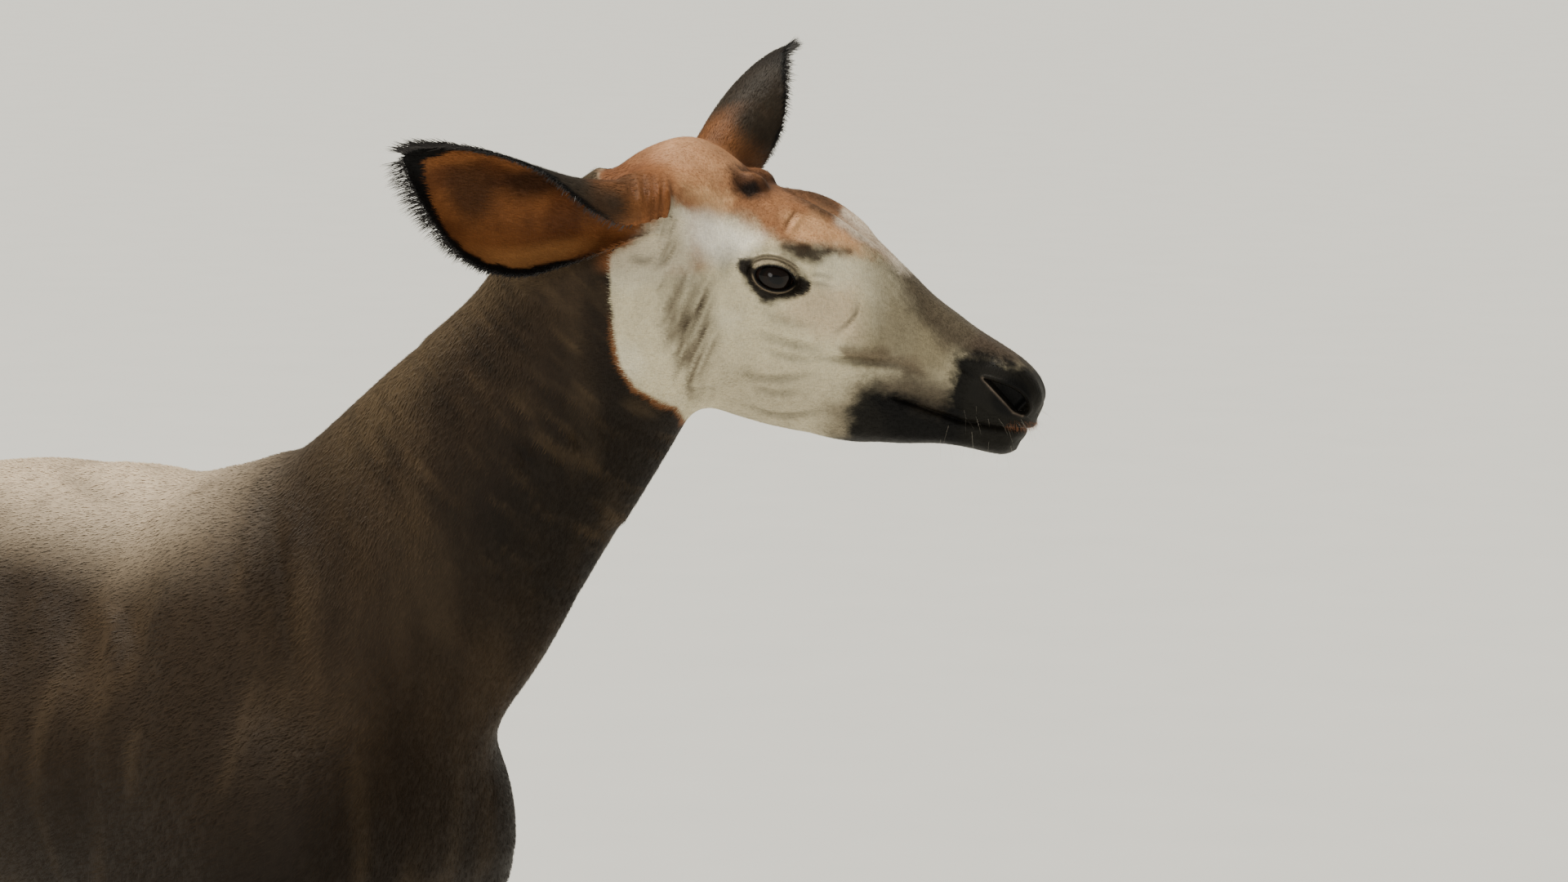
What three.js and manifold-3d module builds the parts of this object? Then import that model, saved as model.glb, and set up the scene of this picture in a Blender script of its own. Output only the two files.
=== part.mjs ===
// Okapi: a still, life-size model of an adult female, standing, with her head and neck turned to her left.
// Millimetres in the animal's own frame: +X forward along the trunk, +Y to her left, +Z up, floor at Z = 0.
// The exported group is shifted so that the middle of her box on the floor is the origin.

import * as THREE from 'three';
import { LoftGeometry } from 'three/addons/geometries/LoftGeometry.js';
import { mergeVertices } from 'three/addons/utils/BufferGeometryUtils.js';
import Module from 'manifold-3d';

const wasm = await Module();
wasm.setup();

// Driving dimensions
const FLOOR_MIDDLE = [-247.9, 127.6];
const GAP = 0.3;
const SIDES = { left: 1, right: -1 };

// Shares of a slice's height at which its half-widths are given.
const SLICE_HEIGHTS = [0.97, 0.82, 0.5, 0.15];

// Trunk, in upright slices from buttock to breast.
// Columns: x, top, bottom, half-widths at the heights of SLICE_HEIGHTS.
const TRUNK = [
  [-1128, 1215, 1130, 6, 14, 20, 12],
  [-1112, 1255, 1075, 22, 52, 66, 38],
  [-1060, 1330, 975, 44, 104, 132, 82],
  [-960, 1400, 915, 60, 150, 178, 112],
  [-840, 1438, 898, 68, 170, 202, 120],
  [-690, 1456, 878, 66, 168, 226, 134],
  [-520, 1478, 846, 66, 170, 256, 150],
  [-350, 1484, 828, 60, 164, 260, 152],
  [-210, 1490, 822, 46, 138, 240, 140],
  [-110, 1500, 826, 36, 116, 216, 130],
  [0, 1492, 852, 36, 108, 196, 118],
  [90, 1424, 905, 40, 104, 172, 104],
  [160, 1345, 965, 42, 92, 140, 88],
  [208, 1262, 1030, 32, 70, 102, 66],
  [230, 1188, 1095, 10, 24, 34, 20],
];

// Neck, in slices square to its middle line, from inside the trunk to inside the skull.
// Columns: step, x, y, z, reach to crest, reach to throat, half-widths.
const NECK = [
  [0, -60, 0, 1290, 196, 215, 44, 104, 150, 96],
  [1, 25, 12, 1335, 196, 212, 42, 98, 140, 90],
  [2, 107, 37, 1384, 192, 204, 38, 84, 118, 78],
  [3, 198, 83, 1504, 164, 178, 30, 66, 94, 66],
  [4, 286, 142, 1626, 140, 150, 28, 60, 82, 60],
  [5, 345, 188, 1728, 136, 130, 30, 62, 80, 58],
  [6, 384, 222, 1794, 110, 90, 26, 50, 62, 44],
];
const NECK_TANGENT = 0.25;
const NECK_BASE = { through: [100, 34, 1376], facing: [0.68, 0.16, 0.715] };

// Head frame: between the eyes, turned to the left and dipped.
const HEAD = { middle: [476, 302, 1747], heading: 41, dip: 25 };

// Skull and upper muzzle, in slices square to the head's axis from nape to nose.
// Columns: forward of the eyes, top, bottom, half-widths.
const SKULL = [
  [-228, -2, -58, 8, 22, 28, 18],
  [-214, 36, -104, 24, 46, 54, 38],
  [-192, 68, -132, 34, 60, 68, 46],
  [-162, 92, -156, 42, 68, 80, 54],
  [-125, 97, -172, 46, 73, 86, 56],
  [-63, 85, -178, 48, 76, 88, 52],
  [0, 88, -174, 52, 76, 84, 47],
  [62, 83, -164, 46, 63, 72, 43],
  [125, 64, -146, 32, 49, 58, 39],
  [166, 50, -128, 25, 41, 49, 34],
  [196, 43, -84, 24, 38, 46, 36],
  [225, 37, -66, 23, 38, 45, 37],
  [282, 29, -60, 24, 40, 47, 38],
  [306, 20, -56, 22, 37, 43, 34],
  [321, 6, -48, 16, 28, 34, 27],
  [329, -8, -34, 6, 12, 15, 11],
];

// Front of the lower jaw, with the same columns, from inside the cheeks to the lower lip.
const JAW = [
  [88, -96, -122, 4, 8, 10, 6],
  [110, -66, -144, 18, 26, 32, 24],
  [150, -56, -138, 24, 36, 42, 31],
  [200, -50, -119, 24, 34, 38, 28],
  [242, -47, -99, 23, 33, 36, 27],
  [270, -45, -90, 23, 33, 36, 26],
  [300, -42, -83, 22, 31, 34, 24],
  [315, -44, -77, 16, 24, 27, 18],
  [323, -52, -68, 4, 8, 10, 6],
];
const NAPE_CUT = { behindEyes: -134, height: -76, tilt: 41 };

// Mouth line in side view, from its corner to the front of the lips, cut to a depth into the muzzle.
const MOUTH = {
  line: [[170, -70], [212, -64], [254, -60], [284, -54], [340, -38]],
  width: 2.6,
  depth: 6,
  through: 160,
  coreFrom: 62,
  coreTo: 310,
  coreBelow: 40,
};
const NOSTRIL = { forward: 288, height: -6, out: 37, length: 23, tall: 6, deep: 12, slope: -12, inward: 24 };

// Eyes: the ball, and the lids with the almond between them
const EYE = {
  radius: 25,
  forward: 5,
  out: 87.5,
  turned: 18,
  lid: 4,
  lidLong: 38,
  lidTall: 30,
  long: 48,
  tall: 31,
  slope: 8,
};
const ALMOND = { upperRear: [0.55, 1.3], upperFront: [0.5, 1.25], lower: [0.5, 1.05], through: 60 };

// Horn knobs of a female: low buttons of skin and hair.
const KNOB = { behindEyes: -68, height: 78, out: 33, radius: 15, stretch: 1.3, tall: 13 };

// Ears: a leaf rolled into a cup.
// Columns: share of the length, radius and half-angle of the roll, degrees the cup's mouth is turned down.
const EAR_ROLL = [
  [-0.16, 17, 158, 44],
  [0, 32, 152, 44],
  [0.12, 38, 144, 42],
  [0.3, 50, 116, 28],
  [0.5, 66, 86, 8],
  [0.7, 70, 66, 0],
  [0.85, 56, 54, 0],
  [0.95, 33, 44, 0],
  [1, 9, 36, 0],
];
const EAR = {
  length: 284,
  wall: 4.5,
  wallShare: 0.4,
  rimInset: 2,
  bow: 14,
  rootShare: 0.13,
  lump: [34, 38, 58],
  lumpOut: 16,
  lumpAlong: -4,
};

// Each ear: root in the head frame, directions of its length and of its mouth, and sag of its middle.
const EAR_SET = {
  right: { root: [-160, 20, 62], along: [-0.465, -0.86, 0.175], open: [0.7, -0.62, -0.15], droop: 42 },
  left: { root: [-155, 40, 56], along: [-0.33, 0.85, 0.43], open: [0.62, 0.6, -0.2], droop: -6 },
};

// Legs, in level slices from the coronet up.
// Columns: z, front, back, distance of the leg's middle from the animal's middle plane, half-width.
const FORELEG = [
  [48, 42, -58, 149, 42],
  [78, 30, -50, 149, 38],
  [106, 14, -58, 149, 31],
  [142, -1, -78, 149, 34],
  [178, -9, -82, 149, 32],
  [225, -17, -71, 149, 26],
  [300, -18, -70, 149, 26],
  [378, -15, -74, 149, 30],
  [425, -3, -84, 149, 38],
  [470, 4, -90, 149, 42],
  [515, -4, -92, 149, 40],
  [570, -9, -92, 149, 37],
  [640, -6, -98, 149, 40],
  [720, 0, -106, 150, 46],
  [800, 8, -122, 152, 54],
  [880, 26, -150, 152, 62],
  [950, 52, -176, 146, 66],
  [1040, 88, -186, 130, 62],
  [1130, 60, -140, 100, 40],
];
const HINDLEG = [
  [48, -866, -964, 156, 42],
  [78, -876, -956, 156, 38],
  [106, -892, -964, 156, 31],
  [142, -908, -986, 156, 34],
  [178, -917, -994, 156, 33],
  [225, -926, -986, 156, 27],
  [300, -930, -984, 156, 25],
  [400, -932, -988, 156, 26],
  [475, -930, -996, 156, 31],
  [530, -922, -1020, 156, 37],
  [575, -908, -1052, 157, 38],
  [612, -886, -1040, 158, 38],
  [665, -838, -1006, 159, 43],
  [740, -764, -984, 161, 54],
  [820, -700, -990, 161, 66],
  [895, -660, -1022, 158, 80],
  [960, -664, -1074, 150, 90],
  [1060, -692, -1106, 132, 96],
  [1180, -742, -1078, 112, 80],
  [1290, -820, -1000, 70, 44],
];
const LEG_ROWS = { front: FORELEG, hind: HINDLEG };
const LEG_TOP = { front: 812, hind: 868 };
const STEP = { front: { left: 46, right: -22 }, hind: { left: -34, right: 40 } };

// Hooves: two claws on a foot, flat below, sloped in front.
const HOOF = {
  length: 116,
  width: 46,
  cleft: 5,
  toeHeight: 74,
  heelHeight: 40,
  slope: 42,
  toeFront: 31,
  levels: [0, 26, 52, 84],
  taper: 0.26,
  toePoint: 0.34,
  heelLean: 0.14,
};

// Muscle masses that round the limbs into the trunk: middle and half-sizes, then the degrees by which the top
// leans forward and in.
const SHOULDER_BLADE = { at: [-58, 120, 1215], half: [146, 70, 262], forward: -22, inward: 13 };
const UPPER_ARM = { at: [-122, 126, 1050], half: [112, 70, 150], forward: 18, inward: 6 };
const SHOULDER_POINT = { at: [92, 112, 1100], half: [104, 76, 124], forward: -16, inward: 8 };
const HAUNCH = { at: [-902, 112, 1130], half: [192, 96, 240], forward: 8, inward: 4 };

// Tail: root, sag points and tuft.
const TAIL_PATH = [
  [-1030, 0, 1312],
  [-1100, 0, 1290],
  [-1160, 0, 1222],
  [-1180, 0, 1120],
  [-1180, 0, 1010],
  [-1176, 0, 915],
];
const TAIL = { rootRadius: 34, endRadius: 11, cutShare: 0.24, rings: 16, sides: 10 };
const TUFT = {
  rows: 5,
  around: 5,
  from: 0.56,
  to: 0.96,
  length: 118,
  width: 23,
  thickness: 5,
  sunk: 5,
  seed: 11,
  stagger: 0.3,
  shortest: 0.8,
  uneven: 0.35,
  curl: 0.3,
};

// A lock from root to tip.
// Columns: share of its length, of its width and of its thickness, degrees that it stands out.
const LOCK = [
  [0, 0.5, 1, 20],
  [0.34, 1, 1, 13],
  [0.7, 0.7, 0.7, 2],
  [1, 0.08, 0.15, -5],
];

// Facets: around a loft, or around and down a ball
const FACETS = {
  trunk: 28,
  neck: 24,
  skull: 28,
  jaw: 20,
  mouthCore: 20,
  mouthLine: 12,
  leg: 14,
  claw: 12,
  earSide: 8,
  earLump: [16, 10],
  broadMuscle: [18, 10],
  smallMuscle: [14, 8],
  eye: [20, 12],
  lids: [22, 14],
  lidCurve: 7,
  nostril: [14, 8],
  knob: [12, 8],
};

// Colour and roughness of each surface
const SURFACES = {
  coat: [0x3b2a22, 0.8],
  face: [0xb9b3a8, 0.8],
  ear: [0x4a2d20, 0.85],
  eye: [0x120c09, 0.15],
  legs: [0xd8cfc0, 0.85],
  hoof: [0x2a211c, 0.5],
};

// Vertices nearer than this are one.
const MERGE_DISTANCE = 1e-3;

// Multiplier and modulus of a repeatable series of random numbers.
const RANDOM = { multiplier: 16807, modulus: 2147483647 };

// Values at a place between the rows of a table, on a cubic through them.
// The first number of a row is its place.
function between(rows, place) {
  const last = rows.length - 1;
  let i = 0;
  while (i < last - 1 && place > rows[i + 1][0]) {
    i += 1;
  }
  const step = rows[i + 1][0] - rows[i][0];
  const t = (place - rows[i][0]) / step;
  const slope = (k, column) => {
    const before = rows[Math.max(k - 1, 0)];
    const after = rows[Math.min(k + 1, last)];
    return (after[column] - before[column]) / (after[0] - before[0]);
  };
  const rise = t * t * (3 - 2 * t);
  const leave = t * (1 - t) * (1 - t) * step;
  const arrive = t * t * (t - 1) * step;
  return rows[i].slice(1).map((value, k) => {
    const end = rows[i + 1][k + 1];
    return value + (end - value) * rise + slope(i, k + 1) * leave + slope(i + 1, k + 1) * arrive;
  });
}

// Places of the rings: every row of the table and a number of steps between each two rows.
function ringPlaces(rows, steps) {
  const places = [];
  for (let i = 0; i < rows.length - 1; i += 1) {
    for (let k = 0; k < steps; k += 1) {
      places.push(rows[i][0] + ((rows[i + 1][0] - rows[i][0]) * k) / steps);
    }
  }
  places.push(rows[rows.length - 1][0]);
  return places;
}

// Rounded slice of a body: [sideways, upwards] points from its top and bottom and its four half-widths.
function slice(top, bottom, widths, sides) {
  const heights = SLICE_HEIGHTS.map((share) => bottom + share * (top - bottom));
  const right = widths.map((width, k) => new THREE.Vector3(-width, heights[k], 0));
  const left = widths.map((width, k) => new THREE.Vector3(width, heights[k], 0)).reverse();
  const ring = [new THREE.Vector3(0, top, 0), ...right, new THREE.Vector3(0, bottom, 0), ...left];
  const outline = new THREE.CatmullRomCurve3(ring, true, 'centripetal');
  return outline.getSpacedPoints(sides).slice(0, sides).map((point) => [point.x, point.y]);
}

// A closed solid from a geometry, its faces turned outwards.
function solid(geometry) {
  const bare = new THREE.BufferGeometry();
  bare.setAttribute('position', geometry.attributes.position);
  bare.setIndex(geometry.index);
  const merged = mergeVertices(bare, MERGE_DISTANCE);
  const spots = merged.attributes.position.array;
  const corners = [];
  const index = merged.index.array;
  let volume = 0;
  const a = new THREE.Vector3();
  const b = new THREE.Vector3();
  const c = new THREE.Vector3();
  for (let i = 0; i < index.length; i += 3) {
    const [p, q, r] = [index[i], index[i + 1], index[i + 2]];
    if (p !== q && q !== r && p !== r) {
      corners.push(p, q, r);
      a.fromArray(spots, 3 * p);
      b.fromArray(spots, 3 * q);
      c.fromArray(spots, 3 * r);
      volume += a.dot(b.cross(c));
    }
  }
  if (volume < 0) {
    corners.reverse();
  }
  const mesh = new wasm.Mesh({
    numProp: 3,
    vertProperties: new Float32Array(spots),
    triVerts: new Uint32Array(corners),
  });
  return new wasm.Manifold(mesh);
}

// A capped solid through sections, whichever way round they are listed.
function loft(sections) {
  const around = new THREE.Vector3();
  const [first, second] = sections;
  first.forEach((point, k) => {
    around.add(new THREE.Vector3().crossVectors(point, first[(k + 1) % first.length]));
  });
  const onward = second.reduce((sum, point) => sum.add(point), new THREE.Vector3());
  first.forEach((point) => onward.sub(point));
  const ordered = around.dot(onward) > 0 ? sections : sections.map((ring) => [...ring].reverse());
  return solid(new LoftGeometry(ordered, { capStart: true, capEnd: true }));
}

// A loft whose slices come from a table, set in space by place(position, sideways, upwards).
function bodyLoft(rows, place, steps, sides) {
  const sections = ringPlaces(rows, steps).map((position) => {
    const [top, bottom, ...widths] = between(rows, position);
    return slice(top, bottom, widths, sides).map(([out, up]) => place(position, out, up));
  });
  return loft(sections);
}

// An ellipsoid on one side of the animal, its top leaning forward and towards the middle.
function muscle({ at, half, forward, inward }, side, facets) {
  const ball = new THREE.SphereGeometry(1, ...facets);
  ball.rotateX(Math.PI / 2);
  ball.scale(...half);
  ball.rotateX(THREE.MathUtils.degToRad(side * inward));
  ball.rotateY(THREE.MathUtils.degToRad(forward));
  ball.translate(at[0], side * at[1], at[2]);
  return solid(ball);
}

// The largest closed surface of a solid.
function largest(whole) {
  return whole.decompose().reduce((best, piece) => (piece.volume() > best.volume() ? piece : best));
}

function union(pieces) {
  return wasm.Manifold.union(pieces);
}

// The two sides of a plane, parted by the gap: first the side that the normal points to.
function part(whole, through, facing) {
  const normal = new THREE.Vector3(...facing).normalize();
  const offset = normal.dot(new THREE.Vector3(...through));
  const ahead = whole.trimByPlane(normal.toArray(), offset + GAP / 2);
  const behind = whole.trimByPlane(normal.clone().negate().toArray(), GAP / 2 - offset);
  return [ahead, behind];
}

// A solid without what comes nearer to another than about the gap.
function clearOf(shape, other) {
  const steps = [[GAP, 0, 0], [-GAP, 0, 0], [0, GAP, 0], [0, -GAP, 0], [0, 0, GAP], [0, 0, -GAP]];
  return steps.reduce((left, step) => left.subtract(other.translate(step)), shape);
}

function mesh(name, shape, surface) {
  const { vertProperties, triVerts } = largest(shape).getMesh();
  const [color, roughness] = SURFACES[surface];
  const geometry = new THREE.BufferGeometry();
  geometry.setAttribute('position', new THREE.BufferAttribute(new Float32Array(vertProperties), 3));
  geometry.setIndex(new THREE.BufferAttribute(new Uint32Array(triVerts), 1));
  geometry.computeVertexNormals();
  const made = new THREE.Mesh(geometry, new THREE.MeshStandardMaterial({ color, roughness, metalness: 0 }));
  made.name = name;
  return made;
}

// Head frame directions
const turn = THREE.MathUtils.degToRad(HEAD.heading);
const dip = THREE.MathUtils.degToRad(HEAD.dip);
const HEAD_FORWARD = new THREE.Vector3(
  Math.cos(turn) * Math.cos(dip),
  Math.sin(turn) * Math.cos(dip),
  -Math.sin(dip),
);
const HEAD_LEFT = new THREE.Vector3(-Math.sin(turn), Math.cos(turn), 0);
const HEAD_UP = new THREE.Vector3().crossVectors(HEAD_FORWARD, HEAD_LEFT);
const HEAD_MATRIX = new THREE.Matrix4()
  .makeBasis(HEAD_FORWARD, HEAD_LEFT, HEAD_UP)
  .setPosition(...HEAD.middle);

function headPoint(forward, out, up) {
  return new THREE.Vector3(forward, out, up).applyMatrix4(HEAD_MATRIX);
}

// Trunk with the shoulders and haunches that round into it
function trunk() {
  const pieces = [bodyLoft(TRUNK, (x, out, up) => new THREE.Vector3(x, out, up), 1, FACETS.trunk)];
  for (const side of Object.values(SIDES)) {
    pieces.push(muscle(SHOULDER_BLADE, side, FACETS.broadMuscle));
    pieces.push(muscle(UPPER_ARM, side, FACETS.smallMuscle));
    pieces.push(muscle(SHOULDER_POINT, side, FACETS.smallMuscle));
    pieces.push(muscle(HAUNCH, side, FACETS.broadMuscle));
  }
  return union(pieces);
}

// Neck, its slices square to the middle line and upright across
function neck() {
  const rows = NECK.map(([step, , , , crest, throat, ...widths]) => [step, crest, -throat, ...widths]);
  const middle = NECK.map(([step, x, y, z]) => [step, x, y, z]);
  const last = NECK.length - 1;
  const place = (step, out, up) => {
    const [x, y, z] = between(middle, step);
    const before = new THREE.Vector3(...between(middle, Math.max(step - NECK_TANGENT, 0)));
    const after = new THREE.Vector3(...between(middle, Math.min(step + NECK_TANGENT, last)));
    const along = after.sub(before).normalize();
    const across = new THREE.Vector3(0, 0, 1).cross(along).normalize();
    const crestward = along.clone().cross(across);
    return new THREE.Vector3(x, y, z).addScaledVector(across, out).addScaledVector(crestward, up);
  };
  return bodyLoft(rows, place, 2, FACETS.neck);
}

// Middle of an eye and its outward direction, in the head frame
function eyePlace(side) {
  const away = THREE.MathUtils.degToRad(EYE.turned);
  const outward = new THREE.Vector3(Math.sin(away), side * Math.cos(away), 0);
  const middle = new THREE.Vector3(EYE.forward, side * EYE.out, 0).addScaledVector(outward, -EYE.radius);
  return { outward, middle };
}

function eyeBall(side, radius) {
  const ball = new THREE.SphereGeometry(radius, ...FACETS.eye);
  ball.translate(...eyePlace(side).middle.toArray());
  ball.applyMatrix4(HEAD_MATRIX);
  return solid(ball);
}

// Eye frame: along the lids, up, and out of the head
function eyeFrame(side) {
  const { outward, middle } = eyePlace(side);
  const across = new THREE.Vector3(0, 0, 1).cross(outward).multiplyScalar(-side).normalize();
  const up = outward.clone().cross(across);
  return new THREE.Matrix4().makeBasis(across, up, outward).setPosition(middle);
}

// Flesh of the lids, before the ball and the opening are cut from it
function lids(side) {
  const flesh = new THREE.SphereGeometry(1, ...FACETS.lids);
  flesh.scale(EYE.lidLong, EYE.lidTall, EYE.radius + EYE.lid);
  flesh.rotateZ(THREE.MathUtils.degToRad(EYE.slope));
  flesh.applyMatrix4(eyeFrame(side));
  flesh.applyMatrix4(HEAD_MATRIX);
  return solid(flesh);
}

// The almond between the lids, as a prism pointing out of the head
function lidOpening(side) {
  const corner = EYE.long / 2;
  const lid = EYE.tall / 2;
  const [rearAlong, rearUp] = ALMOND.upperRear;
  const [frontAlong, frontUp] = ALMOND.upperFront;
  const [lowAlong, lowDown] = ALMOND.lower;
  const almond = new THREE.Shape();
  almond.moveTo(-corner, 0);
  almond.bezierCurveTo(-corner * rearAlong, lid * rearUp, corner * frontAlong, lid * frontUp, corner, 0);
  almond.bezierCurveTo(corner * lowAlong, -lid * lowDown, -corner * lowAlong, -lid * lowDown, -corner, 0);
  const extent = { depth: ALMOND.through, bevelEnabled: false, curveSegments: FACETS.lidCurve };
  const prism = new THREE.ExtrudeGeometry(almond, extent);
  prism.rotateZ(THREE.MathUtils.degToRad(EYE.slope));
  prism.applyMatrix4(eyeFrame(side));
  prism.applyMatrix4(HEAD_MATRIX);
  return solid(prism);
}

// The groove between the lips: a thin bent plate through the muzzle, without the muzzle's core
function mouthGroove() {
  const middle = new THREE.CatmullRomCurve3(MOUTH.line.map(([x, y]) => new THREE.Vector3(x, y, 0)));
  const points = middle.getPoints(FACETS.mouthLine);
  const lip = (sign) => points.map((point) => new THREE.Vector2(point.x, point.y + (sign * MOUTH.width) / 2));
  const strip = new THREE.Shape([...lip(1), ...lip(-1).reverse()]);
  const plate = new THREE.ExtrudeGeometry(strip, { depth: MOUTH.through, bevelEnabled: false });
  plate.translate(0, 0, -MOUTH.through / 2);
  plate.rotateX(Math.PI / 2);
  plate.applyMatrix4(HEAD_MATRIX);
  const core = SKULL.filter(([forward]) => forward >= MOUTH.coreFrom && forward < MOUTH.coreTo);
  const narrowed = core.map(([forward, top, bottom, ...widths]) => {
    return [forward, top, bottom - MOUTH.coreBelow, ...widths.map((width) => width - MOUTH.depth)];
  });
  return solid(plate).subtract(bodyLoft(narrowed, headPoint, 1, FACETS.mouthCore));
}

function nostril(side) {
  const comma = new THREE.SphereGeometry(1, ...FACETS.nostril);
  comma.scale(NOSTRIL.length, NOSTRIL.deep, NOSTRIL.tall);
  comma.rotateZ(THREE.MathUtils.degToRad(-side * NOSTRIL.inward));
  comma.rotateY(THREE.MathUtils.degToRad(-NOSTRIL.slope));
  comma.translate(NOSTRIL.forward, side * NOSTRIL.out, NOSTRIL.height);
  comma.applyMatrix4(HEAD_MATRIX);
  return solid(comma);
}

function knob(side) {
  const button = new THREE.SphereGeometry(1, ...FACETS.knob);
  button.scale(KNOB.radius * KNOB.stretch, KNOB.radius, KNOB.tall);
  button.translate(KNOB.behindEyes, side * KNOB.out, KNOB.height);
  button.applyMatrix4(HEAD_MATRIX);
  return solid(button);
}

// Root, length direction, opening direction and width direction of an ear, in the animal's frame
function earFrame(sideName) {
  const { root, along, open } = EAR_SET[sideName];
  const start = headPoint(root[0], SIDES[sideName] * root[2], root[1]);
  const length = new THREE.Vector3(...along).normalize();
  const opening = new THREE.Vector3(...open).addScaledVector(length, -length.dot(new THREE.Vector3(...open)));
  opening.normalize();
  const width = new THREE.Vector3().crossVectors(length, opening).multiplyScalar(SIDES[sideName]);
  return { start, length, opening, width };
}

// Ear shell: the same roll outside and, a wall's thickness in, inside
function earShell(sideName) {
  const { start, length, opening, width } = earFrame(sideName);
  const { droop } = EAR_SET[sideName];
  const steps = FACETS.earSide;
  const sections = ringPlaces(EAR_ROLL, 2).map((share) => {
    const [radius, angle, twist] = between(EAR_ROLL, share);
    const swell = Math.sin(Math.PI * Math.max(share, 0));
    const back = start
      .clone()
      .addScaledVector(length, EAR.length * share)
      .addScaledVector(opening, -EAR.bow * swell)
      .addScaledVector(width, droop * swell);
    const wall = Math.min(EAR.wall, radius * EAR.wallShare);
    const arc = (reach, from, to) =>
      Array.from({ length: steps + 1 }, (_, k) => {
        const around = THREE.MathUtils.degToRad(from - twist + ((to - from) * k) / steps);
        return back
          .clone()
          .addScaledVector(width, reach * Math.sin(around))
          .addScaledVector(opening, radius - reach * Math.cos(around));
      });
    const inner = angle - EAR.rimInset;
    return [...arc(radius, -angle, angle), ...arc(radius - wall, inner, -inner)];
  });
  return loft(sections);
}

function earLump(sideName) {
  const { start, length, opening, width } = earFrame(sideName);
  const lump = new THREE.SphereGeometry(1, ...FACETS.earLump);
  lump.scale(...EAR.lump);
  const middle = start.clone().addScaledVector(opening, EAR.lumpOut).addScaledVector(length, EAR.lumpAlong);
  lump.applyMatrix4(new THREE.Matrix4().makeBasis(opening, width, length).setPosition(middle));
  return solid(lump);
}

// Skull, jaw, lids and knobs in one, then the ears parted from it
function headAndEars() {
  const flesh = [bodyLoft(SKULL, headPoint, 2, FACETS.skull), bodyLoft(JAW, headPoint, 1, FACETS.jaw)];
  const cuts = [mouthGroove()];
  const ears = {};
  for (const [sideName, side] of Object.entries(SIDES)) {
    flesh.push(lids(side), knob(side));
    cuts.push(eyeBall(side, EYE.radius + GAP), lidOpening(side), nostril(side));
    const { start, length } = earFrame(sideName);
    const rootPlane = start.clone().addScaledVector(length, EAR.length * EAR.rootShare);
    const [free, rooted] = part(earShell(sideName), rootPlane.toArray(), length.toArray());
    const [, lump] = part(earLump(sideName), rootPlane.toArray(), length.toArray());
    flesh.push(rooted, lump);
    ears[sideName] = free;
  }
  return { head: union(flesh).subtract(union(cuts)), ears };
}

// A leg as level slices, each a rounded oval
function legLoft(end, sideName) {
  const rows = LEG_ROWS[end];
  const side = SIDES[sideName];
  const forward = STEP[end][sideName];
  const sides = FACETS.leg;
  const sections = ringPlaces(rows, 1).map((z) => {
    const [front, back, middle, half] = between(rows, z);
    return Array.from({ length: sides }, (_, k) => {
      const angle = (2 * Math.PI * k) / sides;
      const x = (front + back) / 2 + ((front - back) / 2) * Math.cos(angle);
      return new THREE.Vector3(x + forward, side * middle + half * Math.sin(angle), z);
    });
  });
  return loft(sections);
}

// Plane of the coronet, where hair meets horn: high at the toe, low at the heel
function coronet(toeX) {
  const lean = Math.atan2(HOOF.toeHeight - HOOF.heelHeight, HOOF.length);
  return { through: [toeX, 0, HOOF.toeHeight], facing: [-Math.sin(lean), 0, Math.cos(lean)] };
}

// One claw: a toe-pointed oval at the sole, drawn back as it rises, its outer wall sloping in
function claw(toeX, middleY, outer) {
  const sides = FACETS.claw;
  const sections = HOOF.levels.map((z) => {
    const back = (HOOF.slope * z) / HOOF.toeHeight;
    const width = HOOF.width * (1 - HOOF.taper * (z / HOOF.toeHeight));
    const shifted = middleY - (outer * (HOOF.width - width)) / 2;
    return Array.from({ length: sides }, (_, k) => {
      const angle = (2 * Math.PI * k) / sides;
      const along = Math.cos(angle);
      const wide = Math.sin(angle) * (1 - HOOF.toePoint * Math.max(along, 0));
      const x = toeX - back - (HOOF.length / 2 - HOOF.heelLean * z) * (1 - along);
      return new THREE.Vector3(x, shifted + (outer * width * wide) / 2, z);
    });
  });
  return loft(sections);
}

// The meshes of a leg, cut from its loft below the trunk, and of its two claws
function legAndHooves(end, sideName, whole) {
  const side = SIDES[sideName];
  const [foot] = LEG_ROWS[end];
  const toeX = foot[1] + STEP[end][sideName] + HOOF.toeFront;
  const { through, facing } = coronet(toeX - HOOF.slope);
  const [leg] = part(whole, through, facing);
  const made = [mesh(`leg_${end}_${sideName}`, leg, 'legs')];
  for (const [clawName, outer] of [['outer', 1], ['inner', -1]]) {
    const middle = side * (foot[3] + (outer * (HOOF.width + HOOF.cleft)) / 2);
    const [, horn] = part(claw(toeX, middle, side * outer), through, facing);
    made.push(mesh(`hoof_${end}_${sideName}_${clawName}`, horn, 'hoof'));
  }
  return made;
}

// Numbers from 0 to 1, the same in each run
function randomFrom(seed) {
  let state = seed;
  return () => {
    state = (state * RANDOM.multiplier) % RANDOM.modulus;
    return state / RANDOM.modulus;
  };
}

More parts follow.
